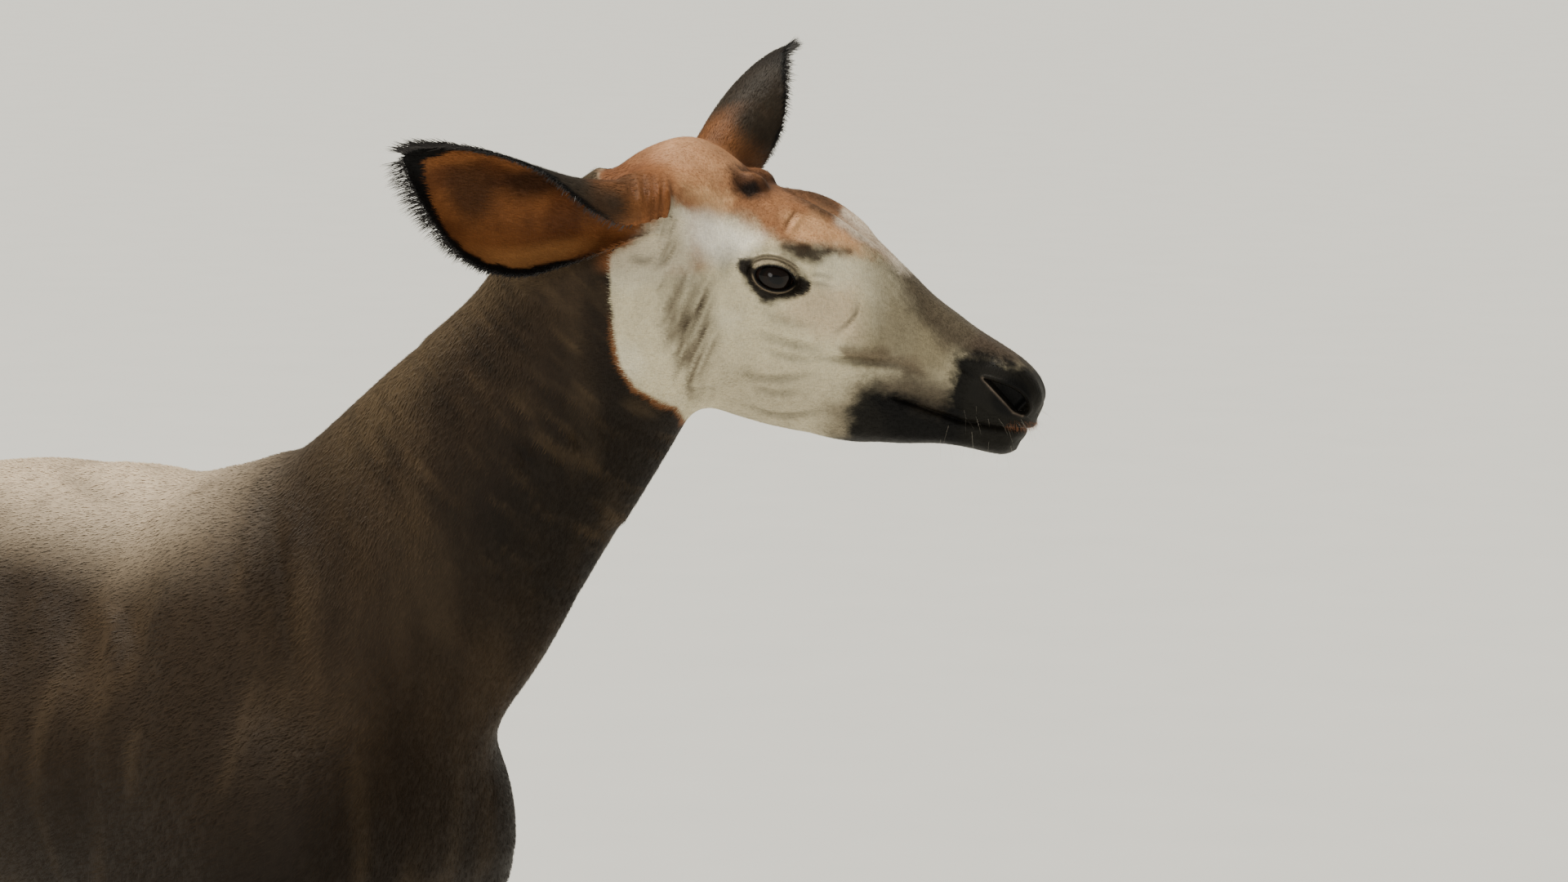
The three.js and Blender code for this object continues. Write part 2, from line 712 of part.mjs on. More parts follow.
// A flat tapered lock that leaves its root along the tail and outwards, then curls in and to one side
function lock(root, along, out, scale, curl) {
  const side = new THREE.Vector3().crossVectors(along, out).normalize();
  const middle = root.clone();
  let before = 0;
  const sections = LOCK.map(([share, wide, thick, standing]) => {
    const lean = THREE.MathUtils.degToRad(standing);
    const way = along.clone().multiplyScalar(Math.cos(lean)).addScaledVector(out, Math.sin(lean));
    const face = out.clone().multiplyScalar(Math.cos(lean)).addScaledVector(along, -Math.sin(lean));
    way.addScaledVector(side, curl * share).normalize();
    middle.addScaledVector(way, TUFT.length * scale * (share - before));
    before = share;
    const half = (TUFT.width * wide) / 2;
    const deep = (TUFT.thickness * thick) / 2;
    return [
      middle.clone().addScaledVector(side, half),
      middle.clone().addScaledVector(face, deep),
      middle.clone().addScaledVector(side, -half),
      middle.clone().addScaledVector(face, -deep),
    ];
  });
  return loft(sections);
}

// The tuft: rows of locks up the tail, each row turned by half a lock against the one below
function tuft(path, radiusAt) {
  const random = randomFrom(TUFT.seed);
  const locks = [];
  for (let row = 0; row < TUFT.rows; row += 1) {
    const share = THREE.MathUtils.lerp(TUFT.from, TUFT.to, row / (TUFT.rows - 1));
    const middle = path.getPointAt(share);
    const along = path.getTangentAt(share);
    const across = new THREE.Vector3(0, 1, 0);
    const back = new THREE.Vector3().crossVectors(along, across).normalize();
    for (let k = 0; k < TUFT.around; k += 1) {
      const angle = (2 * Math.PI * (k + row / 2 + TUFT.stagger * random())) / TUFT.around;
      const out = across.clone().multiplyScalar(Math.cos(angle)).addScaledVector(back, Math.sin(angle));
      const root = middle.clone().addScaledVector(out, radiusAt(share) - TUFT.sunk);
      const scale = TUFT.shortest + TUFT.uneven * random();
      locks.push(lock(root, along, out, scale, TUFT.curl * (random() - 0.5)));
    }
  }
  return union(locks);
}

// Tail, as one tapered rope with its tuft: first the free length, then the root inside the trunk
function tail() {
  const path = new THREE.CatmullRomCurve3(TAIL_PATH.map((point) => new THREE.Vector3(...point)));
  const radiusAt = (share) => THREE.MathUtils.lerp(TAIL.rootRadius, TAIL.endRadius, Math.sqrt(share));
  const across = new THREE.Vector3(0, 1, 0);
  const sections = Array.from({ length: TAIL.rings + 1 }, (_, i) => {
    const share = i / TAIL.rings;
    const middle = path.getPointAt(share);
    const along = path.getTangentAt(share);
    const out = new THREE.Vector3().crossVectors(along, across).normalize();
    const radius = radiusAt(share);
    return Array.from({ length: TAIL.sides }, (_, k) => {
      const angle = (2 * Math.PI * k) / TAIL.sides;
      return middle
        .clone()
        .addScaledVector(across, radius * Math.cos(angle))
        .addScaledVector(out, radius * Math.sin(angle));
    });
  });
  const rope = loft(sections);
  const cut = path.getPointAt(TAIL.cutShare);
  const [free, rooted] = part(rope, cut.toArray(), path.getTangentAt(TAIL.cutShare).toArray());
  return { free: free.add(tuft(path, radiusAt)), rooted };
}

// The plane behind the jaw and ears that parts head and neck
function napePlane() {
  const lean = THREE.MathUtils.degToRad(NAPE_CUT.tilt);
  const facing = HEAD_FORWARD.clone()
    .multiplyScalar(Math.cos(lean))
    .addScaledVector(HEAD_UP, Math.sin(lean));
  return { through: headPoint(NAPE_CUT.behindEyes, 0, NAPE_CUT.height).toArray(), facing: facing.toArray() };
}

// Everything, parted into named meshes
function okapi() {
  const group = new THREE.Group();
  const { head, ears } = headAndEars();
  const { free: tailFree, rooted: tailRoot } = tail();
  const nape = napePlane();
  const [headNode] = part(union([neck(), head]), nape.through, nape.facing);
  const [, neckWhole] = part(neck(), nape.through, nape.facing);
  const bare = trunk();
  const [neckNode] = part(union([neckWhole, bare]), NECK_BASE.through, NECK_BASE.facing);
  const [, neckRoot] = part(neckWhole, NECK_BASE.through, NECK_BASE.facing);
  let [, torso] = part(union([bare, tailRoot, neckRoot]), NECK_BASE.through, NECK_BASE.facing);
  for (const end of Object.keys(LEG_ROWS)) {
    for (const sideName of Object.keys(SIDES)) {
      const [above, below] = part(legLoft(end, sideName), [0, 0, LEG_TOP[end]], [0, 0, 1]);
      torso = torso.add(above);
      legAndHooves(end, sideName, below).forEach((made) => group.add(made));
    }
  }
  group.add(mesh('torso', torso, 'coat'));
  group.add(mesh('neck', neckNode, 'coat'));
  group.add(mesh('head', headNode, 'face'));
  group.add(mesh('tail', clearOf(tailFree, torso), 'coat'));
  for (const [sideName, side] of Object.entries(SIDES)) {
    const ear = clearOf(clearOf(ears[sideName], headNode), neckNode);
    group.add(mesh(`ear_${sideName}`, ear, 'ear'));
    group.add(mesh(`eye_${sideName}`, eyeBall(side, EYE.radius), 'eye'));
  }
  group.position.set(-FLOOR_MIDDLE[0], -FLOOR_MIDDLE[1], 0);
  return group;
}

export default okapi();
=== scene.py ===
"""Looks of a life-size okapi cow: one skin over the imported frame, eyes, hooves, short coat and tufts.

Lengths are in metres. Shapes are made in the animal's own frame: +X forward along the trunk, +Y to her left,
+Z up, floor at Z = 0. place() shifts them to the frame's origin.
"""

import math

import bmesh
import bpy
import numpy as np
import openvdb
from mathutils import Matrix, Vector
from mathutils.bvhtree import BVHTree


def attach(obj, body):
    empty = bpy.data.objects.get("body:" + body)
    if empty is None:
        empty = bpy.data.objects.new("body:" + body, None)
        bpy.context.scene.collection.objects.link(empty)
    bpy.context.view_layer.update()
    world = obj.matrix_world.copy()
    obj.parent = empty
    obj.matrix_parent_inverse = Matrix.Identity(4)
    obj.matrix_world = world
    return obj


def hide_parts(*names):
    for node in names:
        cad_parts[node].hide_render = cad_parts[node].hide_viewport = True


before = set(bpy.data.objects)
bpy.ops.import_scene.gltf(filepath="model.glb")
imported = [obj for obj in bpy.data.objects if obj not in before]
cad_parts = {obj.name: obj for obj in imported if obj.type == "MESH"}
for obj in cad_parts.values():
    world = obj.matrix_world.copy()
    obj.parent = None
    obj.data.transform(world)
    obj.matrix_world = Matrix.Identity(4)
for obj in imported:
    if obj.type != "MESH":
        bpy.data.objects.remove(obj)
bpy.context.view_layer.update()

# Driving dimensions, in the animal's own frame, millimetres in the tables
MM = 0.001
FLOOR_MIDDLE = np.array([-247.9, 127.6, 0.0]) * MM

# Trunk, in upright slices from buttock to breast: x, top, bottom, half-widths at 97, 82, 50, 15 % of height
TRUNK = [
    (-1128, 1215, 1130, 6, 14, 20, 12),
    (-1112, 1255, 1075, 22, 52, 66, 38),
    (-1060, 1330, 975, 44, 104, 132, 82),
    (-960, 1400, 915, 60, 150, 178, 112),
    (-840, 1438, 898, 68, 170, 202, 120),
    (-690, 1456, 878, 66, 168, 226, 134),
    (-520, 1478, 846, 66, 170, 256, 150),
    (-350, 1484, 828, 60, 164, 260, 152),
    (-210, 1490, 822, 46, 138, 240, 140),
    (-110, 1500, 826, 36, 116, 216, 130),
    (0, 1492, 852, 36, 108, 196, 118),
    (90, 1424, 905, 40, 104, 172, 104),
    (160, 1345, 965, 42, 92, 140, 88),
    (208, 1262, 1030, 32, 70, 102, 66),
    (230, 1188, 1095, 10, 24, 34, 20),
]

# Neck, from inside the trunk to inside the skull: step, x, y, z, reach to crest, reach to throat, half-widths
NECK = [
    (0, -60, 0, 1290, 196, 215, 44, 104, 150, 96),
    (1, 25, 12, 1335, 196, 212, 42, 98, 140, 90),
    (2, 107, 37, 1384, 192, 204, 38, 84, 118, 78),
    (3, 198, 83, 1504, 164, 178, 30, 66, 94, 66),
    (4, 286, 142, 1626, 140, 150, 28, 60, 82, 60),
    (5, 345, 188, 1728, 136, 130, 30, 62, 80, 58),
    (6, 384, 222, 1794, 110, 90, 26, 50, 62, 44),
]

# Head frame: between the eyes, turned to the left and dipped, degrees
HEAD_MIDDLE = np.array([476, 302, 1747]) * MM
HEADING = 41
DIP = 25

# Skull and upper muzzle, from nape to nose: forward of the eyes, top, bottom, half-widths
SKULL = [
    (-228, -2, -58, 8, 22, 28, 18),
    (-214, 36, -104, 24, 46, 54, 38),
    (-192, 68, -132, 34, 60, 68, 46),
    (-162, 92, -156, 42, 68, 80, 54),
    (-125, 97, -172, 46, 73, 86, 56),
    (-63, 85, -178, 48, 76, 88, 52),
    (0, 88, -174, 52, 76, 84, 47),
    (62, 83, -164, 46, 63, 72, 43),
    (125, 64, -146, 32, 49, 58, 39),
    (166, 50, -128, 25, 41, 49, 34),
    (196, 43, -84, 24, 38, 46, 36),
    (225, 37, -66, 23, 38, 45, 37),
    (282, 29, -60, 24, 40, 47, 38),
    (306, 20, -56, 22, 37, 43, 34),
    (321, 6, -48, 16, 28, 34, 27),
    (329, -8, -34, 6, 12, 15, 11),
]

# Front of the lower jaw, with the same columns
JAW = [
    (88, -96, -122, 4, 8, 10, 6),
    (110, -66, -144, 18, 26, 32, 24),
    (150, -56, -138, 24, 36, 42, 31),
    (200, -50, -119, 24, 34, 38, 28),
    (242, -47, -99, 23, 33, 36, 27),
    (270, -45, -90, 23, 33, 36, 26),
    (300, -42, -83, 22, 31, 34, 24),
    (315, -44, -77, 16, 24, 27, 18),
    (323, -52, -68, 4, 8, 10, 6),
]

# Ears: share of the length, radius and half-angle of the roll, degrees that the cup's mouth is turned down
EAR_ROLL = [
    (-0.16, 17, 158, 44),
    (0, 32, 152, 44),
    (0.12, 38, 144, 42),
    (0.3, 50, 116, 28),
    (0.5, 66, 86, 8),
    (0.7, 70, 66, 0),
    (0.85, 56, 54, 0),
    (0.95, 33, 44, 0),
    (1, 9, 36, 0),
]
EAR_LENGTH = 284
EAR_WALL = 4.2
EAR_BOW = 14
EAR_LUMP = {"half": (34, 38, 58), "out": 16, "along": -4}
EAR_SET = {
    "right": {
        "root": (-160, 20, 62),
        "along": (-0.465, -0.86, 0.175),
        "open": (0.7, -0.62, -0.15),
        "droop": 42,
    },
    "left": {
        "root": (-155, 40, 56),
        "along": (-0.33, 0.85, 0.43),
        "open": (0.62, 0.6, -0.2),
        "droop": -6,
    },
}

# Legs, in level slices: z, front, back, middle and half-width from the animal's middle plane
FORELEG = [
    (48, 42, -58, 149, 42),
    (78, 30, -50, 149, 38),
    (106, 14, -58, 149, 31),
    (142, -1, -78, 149, 34),
    (178, -9, -82, 149, 32),
    (225, -17, -71, 149, 26),
    (300, -18, -70, 149, 26),
    (378, -15, -74, 149, 30),
    (425, -3, -84, 149, 38),
    (470, 4, -90, 149, 42),
    (515, -4, -92, 149, 40),
    (570, -9, -92, 149, 37),
    (640, -6, -98, 149, 40),
    (720, 0, -106, 150, 46),
    (800, 8, -122, 152, 54),
    (880, 26, -150, 152, 62),
    (950, 52, -176, 146, 66),
    (1040, 88, -186, 130, 62),
    (1130, 60, -140, 100, 40),
]
HINDLEG = [
    (48, -866, -964, 156, 42),
    (78, -876, -956, 156, 38),
    (106, -892, -964, 156, 31),
    (142, -908, -986, 156, 34),
    (178, -917, -994, 156, 33),
    (225, -926, -986, 156, 27),
    (300, -930, -984, 156, 25),
    (400, -932, -988, 156, 26),
    (475, -930, -996, 156, 31),
    (530, -922, -1020, 156, 37),
    (575, -908, -1052, 157, 38),
    (612, -886, -1040, 158, 38),
    (665, -838, -1006, 159, 43),
    (740, -764, -984, 161, 54),
    (820, -700, -990, 161, 66),
    (895, -660, -1022, 158, 80),
    (960, -664, -1074, 150, 90),
    (1060, -692, -1106, 132, 96),
    (1180, -742, -1078, 112, 80),
    (1290, -820, -1000, 70, 44),
]
STEP = {"front": {"left": 46, "right": -22}, "hind": {"left": -34, "right": 40}}

# Muscle masses: middle, half-sizes, degrees that the top leans forward and in, and how softly they blend, mm
MUSCLES = [
    {"at": (-58, 120, 1215), "half": (146, 70, 262), "forward": -22, "inward": 13, "soft": 40},
    {"at": (-122, 126, 1050), "half": (112, 70, 150), "forward": 18, "inward": 6, "soft": 45},
    {"at": (92, 112, 1100), "half": (104, 76, 124), "forward": -16, "inward": 8, "soft": 60},
    {"at": (-902, 112, 1130), "half": (192, 96, 240), "forward": 8, "inward": 4, "soft": 60},
]

TAIL_PATH = [
    (-1030, 0, 1312),
    (-1100, 0, 1290),
    (-1160, 0, 1222),
    (-1180, 0, 1120),
    (-1180, 0, 1010),
    (-1176, 0, 915),
]
TAIL_RADII = (34, 11)

# Forms of the head on each side: middle (forward, out, up), half-sizes, degrees of rise and flare, softness
HEAD_FORMS = [
    {"at": (5, 62, 0), "half": (39, 27.5, 30), "rise": 11, "soft": 10},
    {"at": (-68, 33, 79), "half": (20, 15, 14), "soft": 7},
    {"at": (4, 64, 31), "half": (36, 15, 12), "rise": 14, "flare": -8, "soft": 24},
    {"at": (-70, 56, -96), "half": (82, 24, 56), "rise": -8, "soft": 30},
    {"at": (292, 30, 2), "half": (34, 16, 17), "rise": -14, "flare": -14, "soft": 12},
]

HOOF = {
    "length": 116,
    "width": 46,
    "cleft": 5,
    "toe_height": 80,
    "heel_height": 47,
    "slope": 44,
    "toe_front": 31,
}

# Short coat: number of blades on each part, and their length, width and lift, mm, on each part
COATS = {
    "coat_trunk_left": 58000,
    "coat_trunk_right": 64000,
    "coat_neck": 64000,
    "coat_head": 64000,
    "coat_ears": 46000,
    "coat_legs": 54000,
    "coat_tail": 5000,
}
COAT_SIZES = {
    "trunk": (12.5, 1.3, 1.6),
    "legs": (8.5, 0.95, 1.4),
    "neck": (9.5, 0.95, 1.4),
    "head": (5.6, 0.55, 0.9),
    "ears": (9.0, 0.65, 1.4),
}
FRINGE = {"count": 2600, "short": 9, "long": 27, "width": 0.75}
SWITCH = {"count": 2600, "length": 190, "width": 1.3, "from": 0.58}
# On each lid: first and last point of its edge that carry lashes, their number and their length
LASHES = {"width": 0.4, "sunk": 0.8, "upper": (3, 37, 80, 10.0), "lower": (48, 72, 22, 4.5)}
LIP_FRINGE = {"count": 900, "length": 6.0, "width": 0.2}
CHIN_WHISKERS = {"count": 130, "length": 30, "width": 0.13}
LIP_WHISKERS = {"count": 70, "length": 24, "width": 0.13}

# Sections along a long hair, the share of the skin's triangles kept to unwrap it, and the size on that unwrap
# of the patch that a hair is baked on
HAIR_PLACES = np.array([0, 0.35, 0.7, 1.0])
SWITCH_PLACES = np.array([0, 0.2, 0.45, 0.72, 1.0])
UNWRAP_SHARE = 0.02
PATCH = 0.003
COAT_SEED = 5

# Limits of the coat's parts: mm in the head frame, steps along the neck, and metres in the animal's frame
COAT_LIMITS = {
    "head_back": -215,
    "head_low": -195,
    "nose": 316,
    "nostril_from": 248,
    "eye_bare": 2.2,
    "neck_from": 1.1,
    "leg_top": 0.8,
    "hoof_top": 0.07,
    "tail_from": -1.105,
}

SIGN = {"left": 1, "right": -1}

# Heights of a slice, as shares, at which the tables give its half-widths, and points between two knots
WIDTH_HEIGHTS = (0.97, 0.82, 0.5, 0.15)
FINE_STEPS = 12

# How finely each tube is lofted: millimetres or rings along it, and points round it
TRUNK_SPACING, TRUNK_SIDES = 12, 96
NECK_RINGS, NECK_SIDES = 72, 80
HEAD_SPACING, SKULL_SIDES, JAW_SIDES = 5, 96, 72
LEG_SPACING, LEG_SIDES = 9, 48
EAR_RINGS, EAR_SIDES = 90, 60
TAIL_RINGS, TAIL_SIDES = 80, 28
CLAW_LEVELS, CLAW_SIDES = 40, 72

# The boxes in which the shapes are melted together, in metres, and the length over which each part blends in
BODY_BOX = ((-1.26, -0.32, -0.02), (0.5, 0.4, 1.74))
HEAD_BOX = ((0.12, -0.12, 1.40), (0.74, 0.56, 2.01))
BODY_VOXEL, BODY_BAND = 0.007, 0.075
HEAD_VOXEL, HEAD_BAND = 0.0024, 0.04
FAR = 0.12
BLENDS = {
    "neck": 0.06,
    "legs": 0.055,
    "tail": 0.02,
    "skull": 0.03,
    "jaw": 0.012,
    "ear_lump": 0.022,
    "ears": 0.007,
}
SOFTENING = 6

# The coat's thickness, which the skin is grown by, where it thins out to the muzzle, and more for the ears
COAT_DEPTH = 0.003
MUZZLE_DEPTH = 0.0012
MUZZLE_THINS = {"from": -0.15, "over": 0.35}
EAR_GROW = 0.0029

# Where on the neck the fine head meets the body, and how the skin is smoothed there and on the ears
SEAM_STEP = 3.5
SEAM_GAP = 0.006
SEAM_FADE = 0.035
SMOOTHING = {"pull": 0.6, "push": 0.61, "ears": 20, "seam": 30}

# Points along each fold, and how much painted shade darkens the coat in a groove and a painted highlight
# lightens it on a ridge
FOLD_POINTS = 16
GROOVE_SHADE, RIDGE_HIGHLIGHT = 0.8, 0.2

# Eyeball and the opening between the lids, seen along the eye's own axis, mm and degrees
EYE = {"radius": 25, "forward": 5, "out": 87.5, "turned": 18, "slope": 8, "long": 47, "tall": 28.5}
EYE_RINGS, EYE_SIDES, LID_POINTS = 60, 80, 40
CORNEA = {"raised": 1.5, "wide": 0.5}
# Half-sizes of the pupil, and how far from the eye's axis the iris ends and the white begins
PUPIL = (8.5, 5.0)
IRIS_EDGE = (13.0, 16.5)
EYE_WHITE_FROM = (17.5, 20.0)
LID = {"over": 2.6, "flatness": 0.93, "least": 2}
# Folds of the lids: which lid, distance from its edge, depth (raised where below zero) and width, mm
LID_FOLDS = [
    ("upper", 6.0, 1.9, 1.3),
    ("upper", 9.6, 1.4, 1.5),
    ("upper", 3.2, -0.7, 1.8),
    ("upper", 15.0, 1.6, 3.2),
    ("lower", 5.2, 1.3, 1.3),
    ("lower", 9.5, 1.0, 2.0),
    ("lower", 2.6, -0.5, 1.6),
]

# The line between the lips in the head frame: forward, up
MOUTH = [
    (160, -70), (172, -69), (200, -66), (228, -63), (254, -60), (279, -53), (300, -47), (318, -41),
    (335, -38),
]
# The groove between the lips and the ridges beside it: height over the line, depth and width, mm
MOUTH_FOLDS = [(0, 5.5, 2.0), (6.5, -1.6, 4), (-7.5, -1.8, 5)]
# Where the groove sets in behind the corner of the mouth
MOUTH_CORNER = (165, 190)
NOSTRIL = {"depth": 15, "wall": 4.5, "fold": 0.55, "rim": 1.3, "reach": (46, 26)}

# Where the skin is refined, mm in the head frame: from a place forward, near a height, and round a place
FINE = {
    "muzzle_from": 232,
    "mouth_from": 158,
    "mouth_height": -66,
    "mouth_reach": 14,
    "eye_reach": 44,
    "wrinkles": (-118, 78, 30),
    "wrinkles_reach": 55,
}
FINEST = {"nose_from": 248, "nose_height": -8, "nose_reach": 26, "nose_out": 16, "eye_reach": 31}

# Pixels of the photo along its folds and ridges, with their depth (raised where below zero) and width, mm
HEAD_CREASES = [
    ([(772, 214), (776, 235), (779, 258)], 3.3, 4.2),
    ([(785, 210), (791, 235), (790, 266)], 3.6, 4.4),
    ([(798, 208), (801, 240), (797, 290)], 3.3, 3.9),
    ([(811, 210), (811, 245), (804, 293)], 3.0, 3.4),
    ([(822, 216), (824, 250), (812, 296)], 2.7, 3.4),
    ([(778, 250), (784, 270), (786, 292)], 2.0, 2.6),
    ([(791, 262), (793, 280), (792, 300)], 1.8, 2.3),
    ([(817, 258), (813, 280), (806, 300)], 1.8, 2.1),
    ([(829, 262), (824, 280), (816, 298)], 1.8, 2.3),
    ([(829, 286), (820, 305), (803, 331)], 6.8, 4.6),
    ([(766, 312), (786, 318), (806, 312)], 3.0, 4.5),
    ([(980, 254), (967, 270), (959, 290)], 3.0, 2.3),
    ([(986, 262), (974, 274), (967, 290)], -2.1, 2.9),
    ([(1062, 352), (1057, 370), (1052, 388), (1040, 402), (1024, 414)], -2.9, 4.0),
    ([(1054, 366), (1047, 386), (1035, 398), (1019, 409)], 2.4, 2.8),
    ([(985, 338), (1003, 336), (1022, 341)], 1.4, 2.3),
    ([(984, 347), (1004, 347), (1024, 353)], 1.4, 2.3),
    ([(918, 402), (958, 418), (1019, 431)], 3.0, 5.5),
    ([(926, 424), (962, 436), (1006, 442)], 2.1, 4.4),
    ([(922, 372), (960, 392), (1010, 398)], 1.8, 6.6),
    ([(990, 436), (1043, 442), (1090, 446), (1113, 452), (1124, 459)], 4.5, 4.4),
    ([(905, 492), (947, 509), (985, 508), (1015, 499)], 3.8, 4.6),
    ([(893, 448), (925, 462), (960, 464), (1010, 455)], 3.2, 5.0),
    ([(915, 470), (950, 482), (990, 478)], 2.4, 4.6),
    ([(1199, 463), (1211, 480), (1226, 496), (1241, 508)], -1.7, 2.2),
    ([(1000, 428), (1050, 433), (1100, 437)], -2.4, 5.5),
    ([(946, 225), (973, 242), (1004, 260), (1028, 271), (1050, 286), (1072, 296)], -6.0, 7.7),
    ([(960, 300), (990, 300), (1015, 304)], -3.8, 7.7),
    ([(1164, 433), (1182, 430), (1206, 433)], 1.8, 2.9),
    ([(1206, 468), (1188, 458), (1172, 440)], 2.4, 4.4),
    ([(860, 330), (856, 380), (862, 440)], 3.8, 15.4),
    ([(835, 345), (832, 400), (842, 460)], -3.0, 9.9),
    ([(905, 300), (890, 322), (893, 350)], 4.5, 12.1),
]
# Lines of the forehead in the head frame (forward, out, up), with depth and width, mm
FOREHEAD_LINES = [
    ([(-52, -8, 92), (-20, -8, 92), (10, -8, 92), (45, -6, 86), (95, -4, 74)], 11.0, 23.0),
    ([(-50, 44, 84), (-34, 46, 90), (-8, 47, 90), (24, 45, 88), (60, 40, 80), (92, 36, 70)], -6.5, 10.0),
    ([(-50, -44, 84), (-20, -46, 88), (14, -46, 87), (40, -44, 84), (84, -38, 74)], -2.5, 5.0),
    ([(-95, 22, 92), (-86, 18, 92), (-66, 12, 90), (-50, 22, 86)], 3.5, 7.0),
    ([(-95, -22, 92), (-86, -18, 92), (-66, -12, 90), (-50, -22, 86)], 3.5, 7.0),
    ([(-92, 42, 80), (-70, 52, 74), (-46, 46, 78)], 3.5, 6.0),
    ([(-92, -42, 80), (-70, -52, 74), (-46, -46, 78)], 3.5, 6.0),
]
NECK_CREASES = [
    ([(627, 524), (643, 553), (665, 590)], 4.0, 9.5),
    ([(645, 518), (664, 548), (684, 584)], -2.4, 12.2),
    ([(702, 508), (711, 538), (717, 563)], 4.0, 8.1),
    ([(722, 505), (732, 536), (738, 566)], -2.4, 10.8),
    ([(668, 708), (690, 732), (712, 742)], 3.2, 8.1),
    ([(586, 745), (612, 764), (634, 781), (660, 788)], 3.6, 8.8),
    ([(600, 725), (628, 746), (655, 762)], -2.4, 12.2),
    ([(500, 745), (545, 800), (598, 846)], 3.6, 12.2),
    ([(530, 740), (572, 790), (612, 826)], -2.4, 13.5),
    ([(470, 560), (492, 640), (520, 720)], 2.4, 18.9),
    ([(540, 470), (575, 590), (598, 660)], 2.4, 18.9),
    ([(420, 560), (445, 660), (490, 780)], -2.4, 18.9),
    ([(330, 586), (342, 680), (356, 800), (386, 900)], 4.8, 13.5),
    ([(362, 590), (372, 690), (392, 800)], -2.8, 16.2),
]
BODY_CREASES = [
    ([(206, 612), (160, 690), (133, 748), (145, 791), (128, 908), (145, 1029)], -6.4, 17.6),
    ([(240, 640), (196, 716), (170, 764), (178, 810), (164, 908)], 4.8, 24.3),
    ([(90, 700), (96, 780), (92, 900)], 3.2, 21.6),
    ([(308, 604), (312, 690), (322, 820)], -2.8, 17.6),
    ([(71, 563), (107, 595), (154, 616), (182, 616)], 4.8, 12.2),
    ([(125, 562), (170, 580), (207, 606)], -4.8, 12.2),
    ([(20, 640), (14, 760), (30, 900)], 3.2, 24.3),
]
NOSTRIL_RIM = [
    (1203, 463), (1214, 476), (1228, 491), (1241, 505), (1252, 509),
    (1260, 504), (1261, 493), (1254, 482), (1240, 473), (1221, 466),
]

# Colours as a screen shows them
COLOURS = {
    "coat": (45, 34, 23),
    "coat_warm": (72, 57, 40),
    # painted shade: darker low on the shoulder, away from the light above
    "shoulder_shade": (20, 15, 10),
    # painted shade on the underside of the neck
    "throat_shade": (21, 16, 10),
    # painted highlight: the crest of the neck lighter, as it catches the light
    "nape_highlight": (92, 76, 54),
    # painted highlight on the ridges and painted shade in the wrinkles across the neck
    "neck_ridge_highlight": (92, 74, 52),
    "neck_wrinkle_shade": (26, 20, 13),
    # painted sunlight: the pale back is the light falling on it, laid into the colour
    "back": (208, 188, 162),
    "flank_streak": (80, 65, 47),
    "legs": (32, 25, 18),
    "white": (226, 216, 190),
    "face": (216, 205, 172),
    "face_light": (232, 224, 198),
    "face_rim": (150, 98, 58),
    "eye_smudge": (36, 29, 23),
    "eye_smudge_deep": (24, 19, 16),
    "upper_lid": (142, 127, 103),
    "lower_lid": (150, 132, 108),
    # painted shade in the folds of the upper lids
    "lid_fold_shade": (50, 41, 33),
    "lid_edge": (12, 10, 9),
    # painted shade inside the nostrils, darker than the black muzzle
    "nostril_shade": (2, 2, 2),
    # painted highlight along the raised lower rim of the nostrils
    "nostril_rim_highlight": (132, 118, 104),
    "ear_root": (146, 92, 54),
    "ear_cup": (126, 78, 42),
    "ear_cup_deep": (88, 50, 25),
    "ear_back_root": (118, 76, 44),
    "ear_back": (50, 42, 33),
    "ear_back_tip": (32, 26, 21),
    "ear_rim": (9, 8, 8),
    "iris": (9, 6, 4),
    "iris_streak": (30, 19, 12),
    "pupil": (5, 5, 7),
    "eye_rim": (8, 6, 5),
    "eye_white": (26, 18, 15),
    "eye_white_streak": (48, 35, 30),
    "horn": (30, 25, 23),
    "horn_streak": (66, 56, 50),
    "horn_worn": (112, 98, 84),
    "fringe": (16, 13, 13),
    "fringe_light": (44, 38, 36),
    "switch": (18, 14, 13),
    "switch_light": (52, 42, 36),
    "lash": (12, 10, 10),
    "lash_light": (22, 18, 17),
    "lip_hair": (96, 52, 26),
    "lip_hair_light": (172, 108, 62),
    "whisker": (150, 140, 126),
    "whisker_light": (214, 206, 190),
}
# Spots in the cup of an ear: colour, place along the ear and towards a rim, reach both ways, and strength
CUP_SPOTS = [
    ((44, 25, 13), (0.45, -0.35), (0.24, 0.45), 0.9),
    ((56, 34, 18), (0.7, -0.1), (0.16, 0.7), 0.8),
    ((56, 32, 18), (0.2, 0.0), (0.14, 0.6), 0.8),
    ((182, 128, 76), (0.42, 0.75), (0.3, 0.28), 0.6),
]
# The face's half-width before the ears, mm, and how far from its middle plane a ray may meet it, metres
FACE_WIDTH = 112
FACE_REACH = 0.14
# The step of the neck that its shading is measured from
MID_NECK = 3.0

# The face is painted from these places on: mm ahead of the eyes and above them
FACE_FROM = (-430, -230)

# White markings, metres. The hindquarters begin here.
HIND_FROM = -0.45
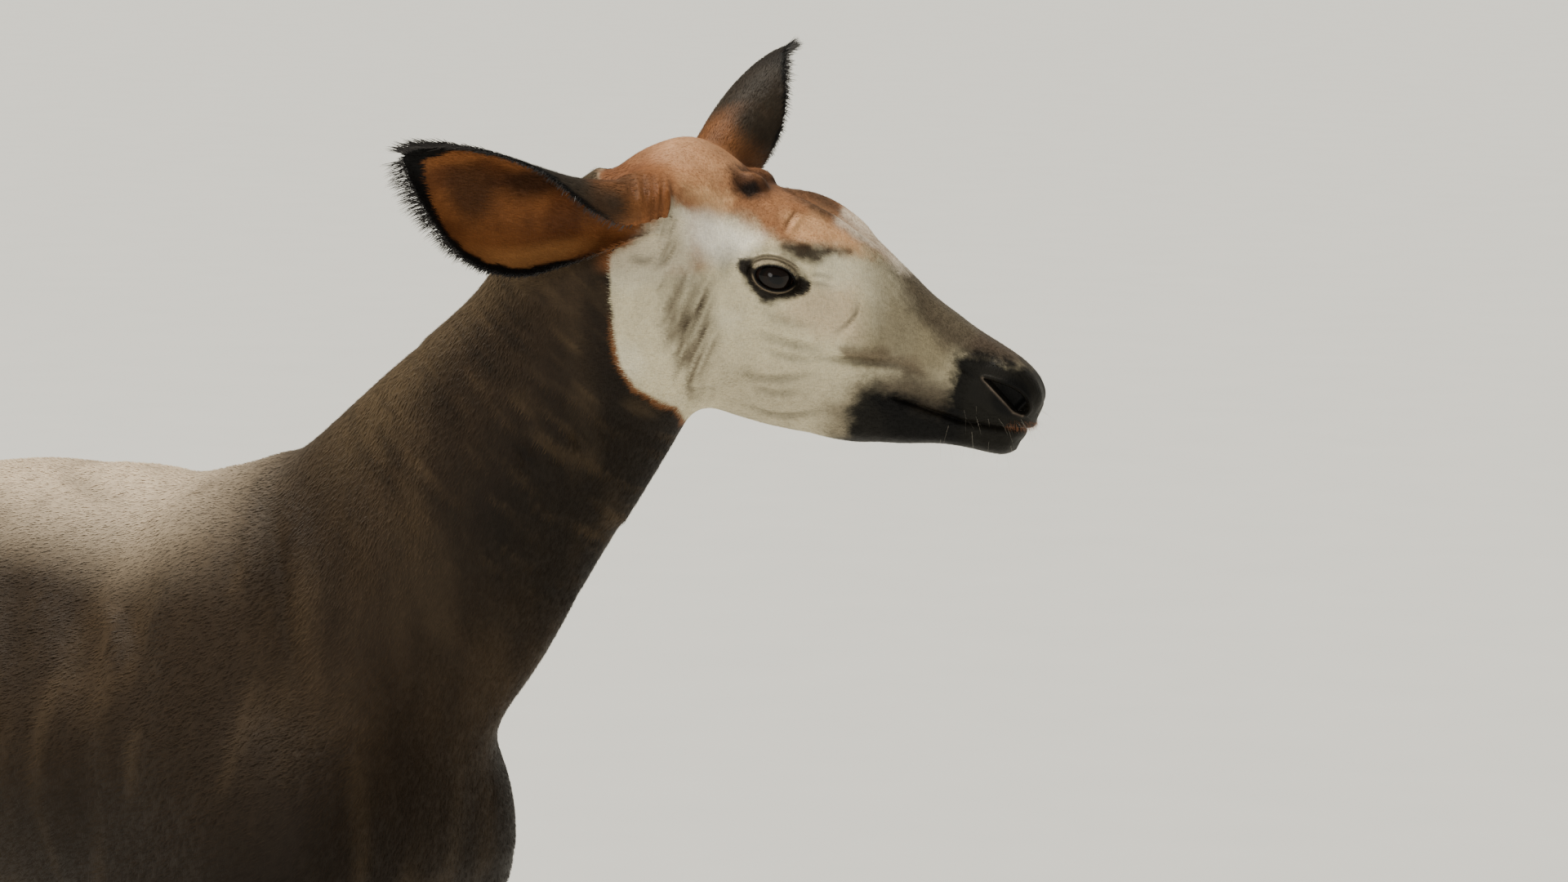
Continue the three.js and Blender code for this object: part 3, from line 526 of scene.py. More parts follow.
# Stripes: their spacing and slope, the lowest and the highest, and where and how raggedly they end
THIGH_STRIPES = {
    "period": 0.046,
    "slope": 0.34,
    "level_at": -0.95,
    "bend": 0.5,
    "bend_from": -0.86,
    "low": 0.585,
    "high": 1.285,
    "ragged": 0.02,
    "front": -0.9,
    "front_leans": 0.27,
    "front_ragged": 0.065,
    "seam": 0.02,
    "tail_half": 0.05,
    "tail_from": -1.1,
}
FORELEG_STRIPES = {
    "period": 0.052,
    "slope": 0.12,
    "middle": -0.05,
    "low": 0.565,
    "high": 0.875,
    "ragged": 0.02,
    "tilt": 0.15,
    "half": 0.2,
    "half_tapers": 0.25,
    "outer": 0.095,
    "outer_leans": 0.05,
    "outer_ragged": 0.015,
    "taper": (0.74, 0.9),
}
STRIPE_WOBBLE = ((0.021, 0.17, 31), (0.006, 0.05, 32))
# A stripe's half-width and its swelling, as shares of the spacing, the distance over which its ends thin out
# and by how much, metres, and how soft its edges are
STRIPE = {
    "swell": 0.36,
    "half": -0.003,
    "ends": 0.13,
    "thinner": 0.008,
    "taper": 0.3,
    "edge": (-0.0012, 0.0014),
    "sock_edge": (-0.0016, 0.0018),
}
RAGGED_EDGE = 0.014
# Heights of the white of the legs and of the bands over the hooves, and the legs' front lines
LEG_WHITE = {"hind_top": 0.5, "fore_top": 0.41, "bottom": 0.165, "slant": 0.25}
SHINS = {"hind": -0.93, "fore": -0.018}
SOCK = (0.088, 0.125)
WHITE_LEGS_BELOW = 0.62

LIGHTS = {
    "sky": {"colour": (1.0, 0.95, 0.84), "energy": 5.2, "spread": 14, "from": (-0.3, -0.28, 1.0)},
    "front": {
        "colour": (1.0, 0.97, 0.93),
        "energy": 60,
        "size": 2.0,
        "at": (3.2, -4.2, 2.6),
        "aim": (0.5, 0, 1.3),
    },
    "room": {"colour": (0.95, 0.95, 0.88, 1), "strength": 0.4},
}
FLOOR = {"size": 500, "pale": (0.62, 0.62, 0.6, 1), "paler": (0.66, 0.66, 0.64, 1)}

# Outlines of the face's markings on the photo. They are laid on both sides of the head, in its own side view.
FACE_EDGE = [
    (735, 200), (752, 245), (756, 300), (748, 318), (748, 363), (753, 406), (761, 449), (780, 475),
    (812, 493), (830, 498), (850, 540), (1000, 600), (1320, 620), (1340, 420), (1120, 240), (980, 150),
    (820, 120), (740, 160),
]
# Each has a colour, how far its edge fades, mm, its strength, how ragged its edge is, and its outline.
# They are painted in this order.
FACE_STREAKS = {
    "cheek_streaks": ((92, 79, 62), 16, 0.95, 1.8, [
        (806, 316), (826, 300), (850, 318), (870, 350), (876, 420), (868, 484), (846, 492), (828, 446),
        (812, 384),
    ]),
}
FACE_GROUND = {
    "cheek_shade": ((184, 172, 144), 30, 0.7, 1.0, [
        (860, 430), (960, 450), (1030, 470), (1030, 530), (960, 540), (880, 500),
    ]),
    "under_eye": ((216, 190, 158), 16, 0.5, 1.0, [
        (985, 352), (1050, 350), (1060, 420), (1000, 410), (960, 385),
    ]),
    "nose_side": ((126, 114, 88), 26, 0.85, 1.4, [
        (1066, 300), (1110, 350), (1175, 415), (1172, 470), (1125, 462), (1090, 448), (1040, 440),
        (1062, 400), (1072, 350),
    ]),
    "nose_bridge": ((66, 55, 44), 12, 0.9, 1.0, [
        (1062, 270), (1110, 300), (1200, 380), (1300, 440), (1300, 475), (1240, 452), (1188, 444),
        (1150, 420), (1116, 378), (1092, 334), (1070, 300),
    ]),
    "nose_top": ((74, 62, 52), 12, 0.85, 1.0, [
        (1204, 400), (1240, 420), (1300, 450), (1300, 470), (1256, 450), (1222, 440), (1196, 434),
        (1180, 425),
    ]),
}
FACE_MARKINGS = {
    "crown": ((148, 97, 61), 15, 0.95, 2.2, [
        (700, 190), (745, 170), (800, 130), (900, 130), (1000, 180), (1110, 290), (1090, 312), (1050, 301),
        (1008, 304), (958, 302), (932, 286), (902, 268), (872, 256), (850, 244), (826, 236), (810, 254),
        (794, 276), (774, 290), (752, 302), (738, 292),
    ]),
    "crown_deep": ((112, 66, 36), 18, 0.75, 1.5, [
        (720, 200), (770, 190), (790, 215), (800, 260), (776, 292), (740, 280),
    ]),
    # painted highlight on the top of the crown
    "crown_highlight": ((206, 158, 118), 18, 0.7, 1.0, [
        (800, 150), (870, 150), (905, 200), (880, 225), (835, 215), (805, 190),
    ]),
    "temple_tan": ((222, 178, 132), 12, 0.75, 1.8, [
        (838, 226), (868, 222), (896, 244), (884, 262), (858, 252), (840, 240),
    ]),
    "forehead_light": ((224, 176, 130), 11, 0.75, 1.8, [
        (962, 266), (1000, 266), (1050, 292), (1058, 310), (1010, 300), (972, 290),
    ]),
    "ear_base": ((124, 78, 44), 12, 0.7, 1.0, [
        (735, 205), (812, 205), (818, 240), (796, 266), (740, 288),
    ]),
    "ear_white": ((206, 196, 170), 9, 0.92, 1.6, [
        (746, 314), (760, 303), (784, 288), (806, 266), (824, 246), (846, 262), (852, 300), (846, 330),
        (800, 346), (744, 346),
    ]),
    # painted highlight on the temple
    "temple_highlight": ((244, 238, 224), 14, 0.85, 1.0, [
        (838, 262), (862, 262), (905, 280), (932, 292), (914, 312), (880, 322), (846, 300),
    ]),
    # painted shade in the hollow between the forehead's ridges
    "ridge_trough_shade": ((70, 54, 42), 7, 0.85, 1.0, [
        (946, 222), (975, 222), (1010, 240), (1050, 272), (1090, 304), (1070, 300), (1028, 274),
        (985, 250),
    ]),
    # painted highlight on the front of the far ridge
    "ridge_highlight": ((232, 218, 198), 6, 0.75, 1.0, [
        (1034, 254), (1062, 272), (1092, 300), (1116, 334), (1102, 334), (1080, 308), (1056, 288),
        (1030, 268),
    ]),
    "brow": ((40, 29, 21), 7, 0.92, 1.4, [
        (952, 302), (962, 295), (988, 297), (1014, 302), (1042, 308), (1014, 313), (998, 321), (974, 316),
        (958, 310),
    ]),
    "horn": ((62, 38, 25), 7, 0.85, 1.0, [
        (893, 205), (925, 200), (950, 216), (944, 240), (916, 246), (898, 236),
    ]),
    # painted shadow in the hollow below the horn knob
    "horn_hollow_shadow": ((18, 13, 11), 4, 0.9, 1.0, [
        (908, 226), (924, 223), (932, 234), (920, 246), (906, 238),
    ]),
    # painted shade along the fold above the mouth
    "mouth_fold_shade": ((98, 82, 64), 8, 0.75, 1.3, [
        (1030, 428), (1078, 428), (1120, 440), (1134, 460), (1104, 454), (1062, 446), (1034, 440),
    ]),
    "upper_lip": ((72, 62, 51), 14, 0.9, 1.0, [
        (1076, 458), (1124, 458), (1172, 470), (1172, 520), (1140, 520), (1090, 488), (1056, 478),
    ]),
    "chin_shade": ((96, 84, 68), 16, 0.7, 2.0, [
        (1044, 468), (1012, 496), (1006, 545), (1020, 590), (1180, 590), (1172, 500), (1092, 466),
    ]),
    "mouth_side": ((22, 18, 14), 13, 0.95, 1.8, [
        (1090, 480), (1130, 486), (1180, 500), (1180, 560), (1120, 560), (1080, 520),
    ]),
    "chin": ((9, 8, 7), 12, 0.98, 2.2, [
        (1072, 462), (1050, 486), (1041, 500), (1038, 530), (1022, 545), (1030, 590), (1180, 590),
        (1172, 515), (1140, 512), (1100, 492),
    ]),
    "muzzle": ((8, 7, 6), 7, 0.99, 1.6, [
        (1170, 433), (1204, 431), (1222, 437), (1256, 448), (1300, 455), (1330, 470), (1330, 600),
        (1150, 600), (1156, 520), (1166, 470),
    ]),
    "lip_corner": ((5, 4, 4), 8, 0.95, 1.0, [
        (1066, 486), (1098, 478), (1120, 494), (1110, 508), (1078, 504),
    ]),
}

# The photo's camera: turned from straight at her right side, raised, and what one pixel of the photo sees
PHOTO_SIZE = (1920, 1080)
SENSOR_WIDTH = 36
CAMERA = {
    "turn": 48,
    "rise": 6.5,
    "lens_pixels": 7386,
    "sees": (-0.12, 0, 1.50),
    "pixel": (300, 570),
    "distance": 7.0,
}


def between(rows, at):
    """Values at places between the rows of a table, whose first column is the place, on a smooth cubic."""
    rows = np.asarray(rows, float)
    place, values = rows[:, 0], rows[:, 1:]
    slope = np.empty_like(values)
    slope[1:-1] = (values[2:] - values[:-2]) / (place[2:] - place[:-2])[:, None]
    slope[0] = (values[1] - values[0]) / (place[1] - place[0])
    slope[-1] = (values[-1] - values[-2]) / (place[-1] - place[-2])
    at = np.atleast_1d(np.asarray(at, float))
    i = np.clip(np.searchsorted(place, at, side="right") - 1, 0, len(place) - 2)
    step = (place[i + 1] - place[i])[:, None]
    t = (at[:, None] - place[i][:, None]) / step
    rise = t * t * (3 - 2 * t)
    return (
        values[i] * (1 - rise)
        + values[i + 1] * rise
        + slope[i] * t * (1 - t) ** 2 * step
        + slope[i + 1] * t * t * (t - 1) * step
    )


def curve(knots, at):
    """Points on a smooth curve through the knots, at steps counted from the first of them."""
    return between(np.column_stack([np.arange(len(knots)), knots]), at)


def closed_curve(knots, count):
    """Points spaced evenly on a closed centripetal curve through the knots."""
    n = len(knots)
    gap = np.sqrt(np.linalg.norm(np.roll(knots, -1, 0) - knots, axis=1))[:, None]
    before, after, beyond = np.roll(knots, 1, 0), np.roll(knots, -1, 0), np.roll(knots, -2, 0)
    gap_before, gap_after = np.roll(gap, 1, 0), np.roll(gap, -1, 0)
    leave = (knots - before) / gap_before - (after - before) / (gap_before + gap) + (after - knots) / gap
    arrive = (after - knots) / gap - (beyond - knots) / (gap + gap_after) + (beyond - after) / gap_after
    t = (np.arange(FINE_STEPS) / FINE_STEPS)[None, :, None]
    rise = t * t * (3 - 2 * t)
    points = (
        knots[:, None] * (1 - rise)
        + after[:, None] * rise
        + (leave * gap)[:, None] * t * (1 - t) ** 2
        + (arrive * gap)[:, None] * t * t * (t - 1)
    ).reshape(n * FINE_STEPS, -1)
    round_trip = np.vstack([points, points[:1]])
    travelled = np.concatenate([[0], np.cumsum(np.linalg.norm(np.diff(round_trip, axis=0), axis=1))])
    stops = np.linspace(0, travelled[-1], count, endpoint=False)
    return np.stack([np.interp(stops, travelled, round_trip[:, k]) for k in range(points.shape[1])], 1)


def slices(rows, places, sides):
    """Rounded slices of a body from top, bottom and four half-widths: rings of (out, up), metres."""
    rings = []
    for top, bottom, *widths in between(rows, places) * MM:
        heights = bottom + np.array(WIDTH_HEIGHTS) * (top - bottom)
        right = [(-w, h) for w, h in zip(widths, heights)]
        left = [(w, h) for w, h in zip(widths[::-1], heights[::-1])]
        knots = np.array([(0, top), *right, (0, bottom), *left])
        rings.append(closed_curve(knots, sides))
    return np.array(rings)


def fine_places(rows, spacing):
    """Places from the first row to the last, at most the spacing apart."""
    first, last = rows[0][0], rows[-1][0]
    return np.linspace(first, last, max(2, math.ceil((last - first) / spacing) + 1))


def tube_faces(rings, sides):
    """Quads round a stack of rings, and fans of triangles that close both ends, round two more points."""
    i, k = np.meshgrid(np.arange(rings - 1), np.arange(sides), indexing="ij")
    a = i * sides + k
    b = i * sides + (k + 1) % sides
    quads = np.stack([a, b, b + sides, a + sides], -1).reshape(-1, 4)
    k = np.arange(sides)
    first = np.stack([np.full(sides, rings * sides), (k + 1) % sides, k], 1)
    end = (rings - 1) * sides
    last = np.stack([np.full(sides, rings * sides + 1), end + k, end + (k + 1) % sides], 1)
    return quads, np.vstack([first, last])


def closed_tube(rings):
    """Points, quads and triangles of a closed surface through an array of rings."""
    count, sides, _ = rings.shape
    points = np.vstack([rings.reshape(-1, 3), rings[0].mean(0), rings[-1].mean(0)])
    return (points, *tube_faces(count, sides))


def unit(v):
    v = np.asarray(v, float)
    return v / np.linalg.norm(v, axis=-1, keepdims=True)


# Directions of the head frame
_turn, _dip = math.radians(HEADING), math.radians(DIP)
FORWARD = np.array([math.cos(_turn) * math.cos(_dip), math.sin(_turn) * math.cos(_dip), -math.sin(_dip)])
LEFT = np.array([-math.sin(_turn), math.cos(_turn), 0])
UP = np.cross(FORWARD, LEFT)
HEAD_AXES = np.stack([FORWARD, LEFT, UP])


def from_head(points):
    """Animal-frame points from (forward, left, up) in the head frame, both in metres."""
    return np.asarray(points, float) @ HEAD_AXES + HEAD_MIDDLE


def to_head(points):
    return (np.asarray(points, float) - HEAD_MIDDLE) @ HEAD_AXES.T


def set_along(rings, places):
    """Rings with the place of each along the body as their first coordinate, metres."""
    along = np.broadcast_to(places[:, None] * MM, rings.shape[:2])
    return np.stack([along, rings[..., 0], rings[..., 1]], -1)


def trunk_tube():
    places = fine_places(TRUNK, TRUNK_SPACING)
    rings = slices(TRUNK, places, TRUNK_SIDES)
    return closed_tube(set_along(rings, places))


def neck_frames(steps):
    """Middle line of the neck with its directions along, across and towards the crest."""
    line = [row[:4] for row in NECK]
    last = NECK[-1][0]
    middle = between(line, steps) * MM
    along = unit(between(line, np.minimum(steps + 0.25, last)) - between(line, np.maximum(steps - 0.25, 0)))
    across = unit(np.cross([0, 0, 1], along))
    return middle, along, across, np.cross(along, across)


def neck_tube():
    steps = np.linspace(0, NECK[-1][0], NECK_RINGS)
    rows = [(row[0], row[4], -row[5], *row[6:]) for row in NECK]
    rings = slices(rows, steps, NECK_SIDES)
    middle, _, across, crest = neck_frames(steps)
    points = middle[:, None] + rings[..., :1] * across[:, None] + rings[..., 1:] * crest[:, None]
    return closed_tube(points)


def head_tube(rows, sides):
    places = fine_places(rows, HEAD_SPACING)
    rings = slices(rows, places, sides)
    return closed_tube(from_head(set_along(rings, places)))


def leg_tube(rows, side, step):
    heights = fine_places(rows, LEG_SPACING)
    values = between(rows, heights) * MM
    around = np.linspace(0, 2 * np.pi, LEG_SIDES, endpoint=False)
    front, back, middle, half = (values[:, k : k + 1] for k in range(4))
    x = (front + back) / 2 + (front - back) / 2 * np.cos(around) + step * MM
    y = side * middle + half * np.sin(around)
    z = np.broadcast_to(heights[:, None] * MM, x.shape)
    return closed_tube(np.stack([x, y, z], -1))


def ear_frame(side_name):
    """Root, and the directions of an ear's length, mouth and width."""
    ear = EAR_SET[side_name]
    sign = SIGN[side_name]
    forward, up, out = ear["root"]
    start = from_head(np.array([forward, sign * out, up]) * MM)
    length = unit(ear["along"])
    mouth = np.array(ear["open"]) - length * np.dot(length, ear["open"])
    mouth = unit(mouth)
    return start, length, mouth, np.cross(length, mouth) * sign


def near_ear(spots, side_name):
    """The direction of an ear, how far along it points lie as a share, and how far from its axis, metres."""
    start, length, _, _ = ear_frame(side_name)
    share = (spots - start) @ length / (EAR_LENGTH * MM)
    return length, share, np.linalg.norm((spots - start) - np.outer(share * EAR_LENGTH * MM, length), axis=1)


def ear_point(side_name, share, angle, depth):
    """Points of an ear's roll: share of its length, degrees from its back line, depth in from its outside."""
    start, length, mouth, width = ear_frame(side_name)
    share, angle, depth = np.broadcast_arrays(share, angle, depth)
    radius, _, twist = (between(EAR_ROLL, share.ravel()).reshape(*share.shape, 3)[..., k] for k in range(3))
    swell = np.sin(np.pi * np.maximum(share, 0))
    around = np.radians(angle - twist)
    reach = (radius - depth) * MM
    offset = share * EAR_LENGTH * MM
    back = (
        start
        + length * offset[..., None]
        - mouth * (EAR_BOW * MM * swell)[..., None]
        + width * (EAR_SET[side_name]["droop"] * MM * swell)[..., None]
    )
    return (
        back
        + width * (reach * np.sin(around))[..., None]
        + mouth * (radius * MM - reach * np.cos(around))[..., None]
    )


def ear_tube(side_name):
    shares = np.linspace(EAR_ROLL[0][0], 1, EAR_RINGS)
    radius, angle, _ = between(EAR_ROLL, shares).T
    wall = np.minimum(EAR_WALL, radius * 0.4)
    turn = np.linspace(-1, 1, EAR_SIDES)
    outside = ear_point(side_name, shares[:, None], angle[:, None] * turn, 0.0)
    inside = ear_point(side_name, shares[:, None], (2 - angle[:, None]) * turn, wall[:, None])
    return closed_tube(np.concatenate([outside, inside], 1))


def along_direction(direction, x, y, z):
    """How far each voxel lies along a direction, from the three axes of a box."""
    level = direction[0] * x[:, None, None] + direction[1] * y[None, :, None]
    return (level + direction[2] * z[None, None, :]).astype(np.float32)


class Volume:
    """A box of signed distances, negative inside, that shapes are melted into."""

    def __init__(self, low, high, voxel, band):
        self.voxel = voxel
        self.band = band
        self.first = np.floor(np.asarray(low) / voxel).astype(int)
        self.shape = np.ceil(np.asarray(high) / voxel).astype(int) - self.first + 1
        self.distance = np.full(tuple(self.shape), FAR, np.float32)

    def window(self, low, high):
        """The part of the box between two corners: its slices and its three axes of coordinates."""
        a = np.clip(np.floor(np.asarray(low) / self.voxel).astype(int) - self.first, 0, self.shape - 1)
        b = np.clip(np.ceil(np.asarray(high) / self.voxel).astype(int) - self.first + 1, a + 1, self.shape)
        axes = [(self.first[k] + np.arange(a[k], b[k])) * self.voxel for k in range(3)]
        return tuple(slice(a[k], b[k]) for k in range(3)), axes

    def melt(self, window, distance, soft):
        """Joins a shape, rounding the fillet over the length soft."""
        here = self.distance[window]
        if soft <= 0:
            np.minimum(here, distance, out=here)
            return
        share = np.clip(0.5 + 0.5 * (here - distance) / soft, 0, 1)
        here[...] = here + (distance - here) * share - soft * share * (1 - share)

    def add_surface(self, tube, soft, grow=0.0):
        """Melts in a closed surface of points, quads and triangles, first grown by a length."""
        points, quads, triangles = tube
        band = self.band + grow
        window, axes = self.window(points.min(0) - band, points.max(0) + band)
        grid = openvdb.FloatGrid.createLevelSetFromPolygons(
            points.astype(np.float32),
            triangles=triangles.astype(np.uint32),
            quads=quads.astype(np.uint32),
            transform=openvdb.createLinearTransform(voxelSize=self.voxel),
            halfWidth=band / self.voxel,
        )
        array = np.empty([len(axis) for axis in axes], np.float32)
        corner = [self.first[k] + window[k].start for k in range(3)]
        grid.copyToArray(array, ijk=tuple(int(v) for v in corner))
        self.melt(window, array - grow, soft)

    def soften(self, times):
        """Evens out the joints of the shapes so far."""
        for _ in range(times):
            for axis in range(3):
                ahead, behind = np.roll(self.distance, -1, axis), np.roll(self.distance, 1, axis)
                self.distance = (ahead + behind + 2 * self.distance) / 4

    def blob_distance(self, middle, half, directions, pad):
        """Distances to an ellipsoid with these half-sizes along these three directions, near it."""
        reach = max(half) + pad
        window, axes = self.window(np.asarray(middle) - reach, np.asarray(middle) + reach)
        x, y, z = (axis - middle[k] for k, axis in enumerate(axes))
        near, far = 0.0, 0.0
        for direction, size in zip(directions, half):
            along = along_direction(direction, x, y, z)
            near = near + (along / size) ** 2
            far = far + (along / size**2) ** 2
        near = np.sqrt(near)
        return window, near * (near - 1) / np.maximum(np.sqrt(far), 1e-6)

    def add_blob(self, middle, half, directions, soft):
        window, distance = self.blob_distance(middle, half, directions, soft + 2 * self.voxel)
        self.melt(window, distance, soft)

    def polygons(self):
        grid = openvdb.FloatGrid(FAR)
        grid.copyFromArray(self.distance)
        points, quads = grid.convertToQuads(isovalue=0.0)
        return (points + self.first) * self.voxel, quads.astype(np.int64)


def muscle_directions(muscle, side):
    """An ellipsoid's three directions after its top leans in and forward."""
    lean, tip = math.radians(side * muscle["inward"]), math.radians(muscle["forward"])
    about_x = Matrix.Rotation(lean, 3, "X")
    about_y = Matrix.Rotation(tip, 3, "Y")
    return np.array(about_y @ about_x).T


def body_volume():
    volume = Volume(*BODY_BOX, BODY_VOXEL, BODY_BAND)
    volume.add_surface(trunk_tube(), 0.0)
    for side in SIGN.values():
        for muscle in MUSCLES:
            x, y, z = muscle["at"]
            middle = np.array([x, side * y, z]) * MM
            half = np.array(muscle["half"]) * MM
            volume.add_blob(middle, half, muscle_directions(muscle, side), muscle["soft"] * MM)
    volume.add_surface(neck_tube(), BLENDS["neck"])
    volume.soften(SOFTENING)
    for end, rows in (("front", FORELEG), ("hind", HINDLEG)):
        for side_name, side in SIGN.items():
            volume.add_surface(leg_tube(rows, side, STEP[end][side_name]), BLENDS["legs"])
    volume.add_surface(tail_tube(), BLENDS["tail"])
    volume.distance += COAT_DEPTH
    return volume


def tail_radius(share):
    return (TAIL_RADII[0] + (TAIL_RADII[1] - TAIL_RADII[0]) * np.sqrt(share)) * MM


def tail_tube():
    """The dock of the tail, without its hair."""
    path = curve(np.array(TAIL_PATH, float) * MM, np.linspace(0, len(TAIL_PATH) - 1, TAIL_RINGS))
    along = unit(np.gradient(path, axis=0))
    across = np.array([0.0, 1.0, 0.0])
    out = np.cross(along, across)
    radius = tail_radius(np.linspace(0, 1, len(path)))
    around = np.linspace(0, 2 * np.pi, TAIL_SIDES, endpoint=False)[None, :, None]
    ring = across * np.cos(around) + out[:, None] * np.sin(around)
    return closed_tube(path[:, None] + radius[:, None, None] * ring)


def head_volume():
    volume = Volume(*HEAD_BOX, HEAD_VOXEL, HEAD_BAND)
    volume.add_surface(neck_tube(), 0.0)
    volume.add_surface(head_tube(SKULL, SKULL_SIDES), BLENDS["skull"])
    volume.add_surface(head_tube(JAW, JAW_SIDES), BLENDS["jaw"])
    for side_name, side in SIGN.items():
        for form in HEAD_FORMS:
            forward, out, up = form["at"]
            middle = from_head(np.array([forward, side * out, up]) * MM)
            directions = np.array([FORWARD, LEFT, UP])
            tilt = Matrix.Rotation(math.radians(-form.get("rise", 0)), 3, "Y")
            flare = Matrix.Rotation(math.radians(side * form.get("flare", 0)), 3, "Z")
            directions = np.array(flare @ tilt).T @ directions
            volume.add_blob(middle, np.array(form["half"]) * MM, directions, form["soft"] * MM)
        start, length, mouth, width = ear_frame(side_name)
        middle = start + mouth * EAR_LUMP["out"] * MM + length * EAR_LUMP["along"] * MM
        half = np.array(EAR_LUMP["half"]) * MM
        volume.add_blob(middle, half, np.array([mouth, width, length]), BLENDS["ear_lump"])
        volume.add_surface(ear_tube(side_name), BLENDS["ears"], grow=EAR_GROW)
    x, y, z = (axis - HEAD_MIDDLE[k] for k, axis in enumerate(volume.window(*HEAD_BOX)[1]))
    ahead = along_direction(FORWARD, x, y, z) - MUZZLE_THINS["from"]
    share = np.clip(ahead / MUZZLE_THINS["over"], 0, 1)
    volume.distance += COAT_DEPTH + (MUZZLE_DEPTH - COAT_DEPTH) * share
    return volume


def joined_skin():
    """One mesh from the fine head and the coarser body, sewn together round the neck."""
    middle, along, _, _ = neck_frames(np.array([SEAM_STEP]))
    middle, along = Vector(middle[0]), Vector(along[0])
    whole = bmesh.new()
    for volume, side in ((head_volume(), 1), (body_volume(), -1)):
        points, quads = volume.polygons()
        mesh = bpy.data.meshes.new("half")
        mesh.from_pydata(points.tolist(), [], quads.tolist())
        half = bmesh.new()
        half.from_mesh(mesh)
        bmesh.ops.bisect_plane(
            half,
            geom=half.verts[:] + half.edges[:] + half.faces[:],
            plane_co=middle + along * (side * SEAM_GAP / 2),
            plane_no=along,
            clear_inner=side > 0,
            clear_outer=side < 0,
        )
        half.to_mesh(mesh)
        half.free()
        whole.from_mesh(mesh)
        bpy.data.meshes.remove(mesh)
    rims = [edge for edge in whole.edges if edge.is_boundary]
    bmesh.ops.bridge_loops(whole, edges=rims)
    keep_largest(whole)
    bmesh.ops.recalc_face_normals(whole, faces=whole.faces[:])
    return whole


def keep_largest(whole):
    """Drops every loose scrap."""
    whole.verts.ensure_lookup_table()
    seen = np.zeros(len(whole.verts), bool)
    groups = []
    whole.verts.index_update()
    for vert in whole.verts:
        if seen[vert.index]:
            continue
        seen[vert.index] = True
        stack, group = [vert], [vert]
        while stack:
            for edge in stack.pop().link_edges:
                for other in edge.verts:
                    if not seen[other.index]:
                        seen[other.index] = True
                        stack.append(other)
                        group.append(other)
        groups.append(group)
    groups.sort(key=len)
    for group in groups[:-1]:
        bmesh.ops.delete(whole, geom=group, context="VERTS")


def camera_axes():
    """The camera's right, up and viewing directions, and its place, in the animal's frame."""
    turn, rise = math.radians(CAMERA["turn"]), math.radians(CAMERA["rise"])
    right = np.array([math.cos(turn), math.sin(turn), 0])
    up = np.array([-math.sin(rise) * math.sin(turn), math.sin(rise) * math.cos(turn), math.cos(rise)])
    view = np.cross(up, right)
    across, above = pixel_slopes(CAMERA["pixel"])
    spot = np.array(CAMERA["sees"]) - CAMERA["distance"] * (across * right + above * up + view)
    return right, up, view, spot


def pixel_slopes(pixel):
    x, y = pixel
    return (x - PHOTO_SIZE[0] / 2) / CAMERA["lens_pixels"], (PHOTO_SIZE[1] / 2 - y) / CAMERA["lens_pixels"]


def pixel_ray(pixel):
    """The camera's place, and the direction in which a pixel of the photo looks from there."""
    right, up, view, spot = camera_axes()
    across, above = pixel_slopes(pixel)
    return spot, unit(across * right + above * up + view)


def on_skin(tree, pixels, count=None):
    """Where the skin shows at pixels of the photo, or at count places along a curve through them."""
    pixels = np.array(pixels, float)
    if count:
        pixels = curve(pixels, np.linspace(0, len(pixels) - 1, count))
    found = []
    for pixel in pixels:
        spot, ray = pixel_ray(pixel)
        hit = tree.ray_cast(Vector(spot), Vector(ray))[0]
        if hit is not None:
            found.append(hit)
    return np.array(found)


def snapped(tree, points):
    return np.array([tree.find_nearest(Vector(point))[0] for point in points])


def smooth(value, low, high):
    share = np.clip((value - low) / (high - low), 0, 1)
    return share * share * (3 - 2 * share)


def bell(value, wide, middle=0.0):
    """1 at the middle, fading on both sides over the width."""
    return np.exp(-(((value - middle) / wide) ** 2))


def along_line(points, line):
    """Distance of each point from a broken line, and how far along it that is, from 0 to 1."""
    span = line[1:] - line[:-1]
    length = np.linalg.norm(span, axis=1)
    to = points[:, None] - line[:-1]
    share = np.clip((to * span).sum(2) / length**2, 0, 1)
    gap = np.linalg.norm(to - share[..., None] * span, axis=2)
    rows, nearest = np.arange(len(points)), gap.argmin(1)
    travelled = np.concatenate([[0], np.cumsum(length)])
    return gap[rows, nearest], (travelled[nearest] + share[rows, nearest] * length[nearest]) / travelled[-1]


def beside(spots, line, wide):
    """The points near a line, their distances from it, and a weight that fades at both its ends."""
    reach = 3 * wide
    near = np.flatnonzero(((spots > line.min(0) - reach) & (spots < line.max(0) + reach)).all(1))
    gap, share = along_line(spots[near], line)
    return near, gap, np.sin(np.pi * share) ** 1.5


def crease(spots, normals, line, deep, wide):
    """Presses a groove along a line, or raises a ridge where deep is below zero, fading at both ends."""
    near, gap, fade = beside(spots, line, wide)
    spots[near] -= normals[near] * (deep * fade * bell(gap, wide))[:, None]


def head_mirror(points):
    return from_head(to_head(points) * (1, -1, 1))


def body_mirror(points):
    return points * (1, -1, 1)


def neck_mirror(points):
    steps = np.linspace(0, NECK[-1][0], 60)
    middle, _, across, _ = neck_frames(steps)
    nearest = np.linalg.norm(points[:, None] - middle, axis=2).argmin(1)
    side = ((points - middle[nearest]) * across[nearest]).sum(1, keepdims=True)
    return points - 2 * side * across[nearest]


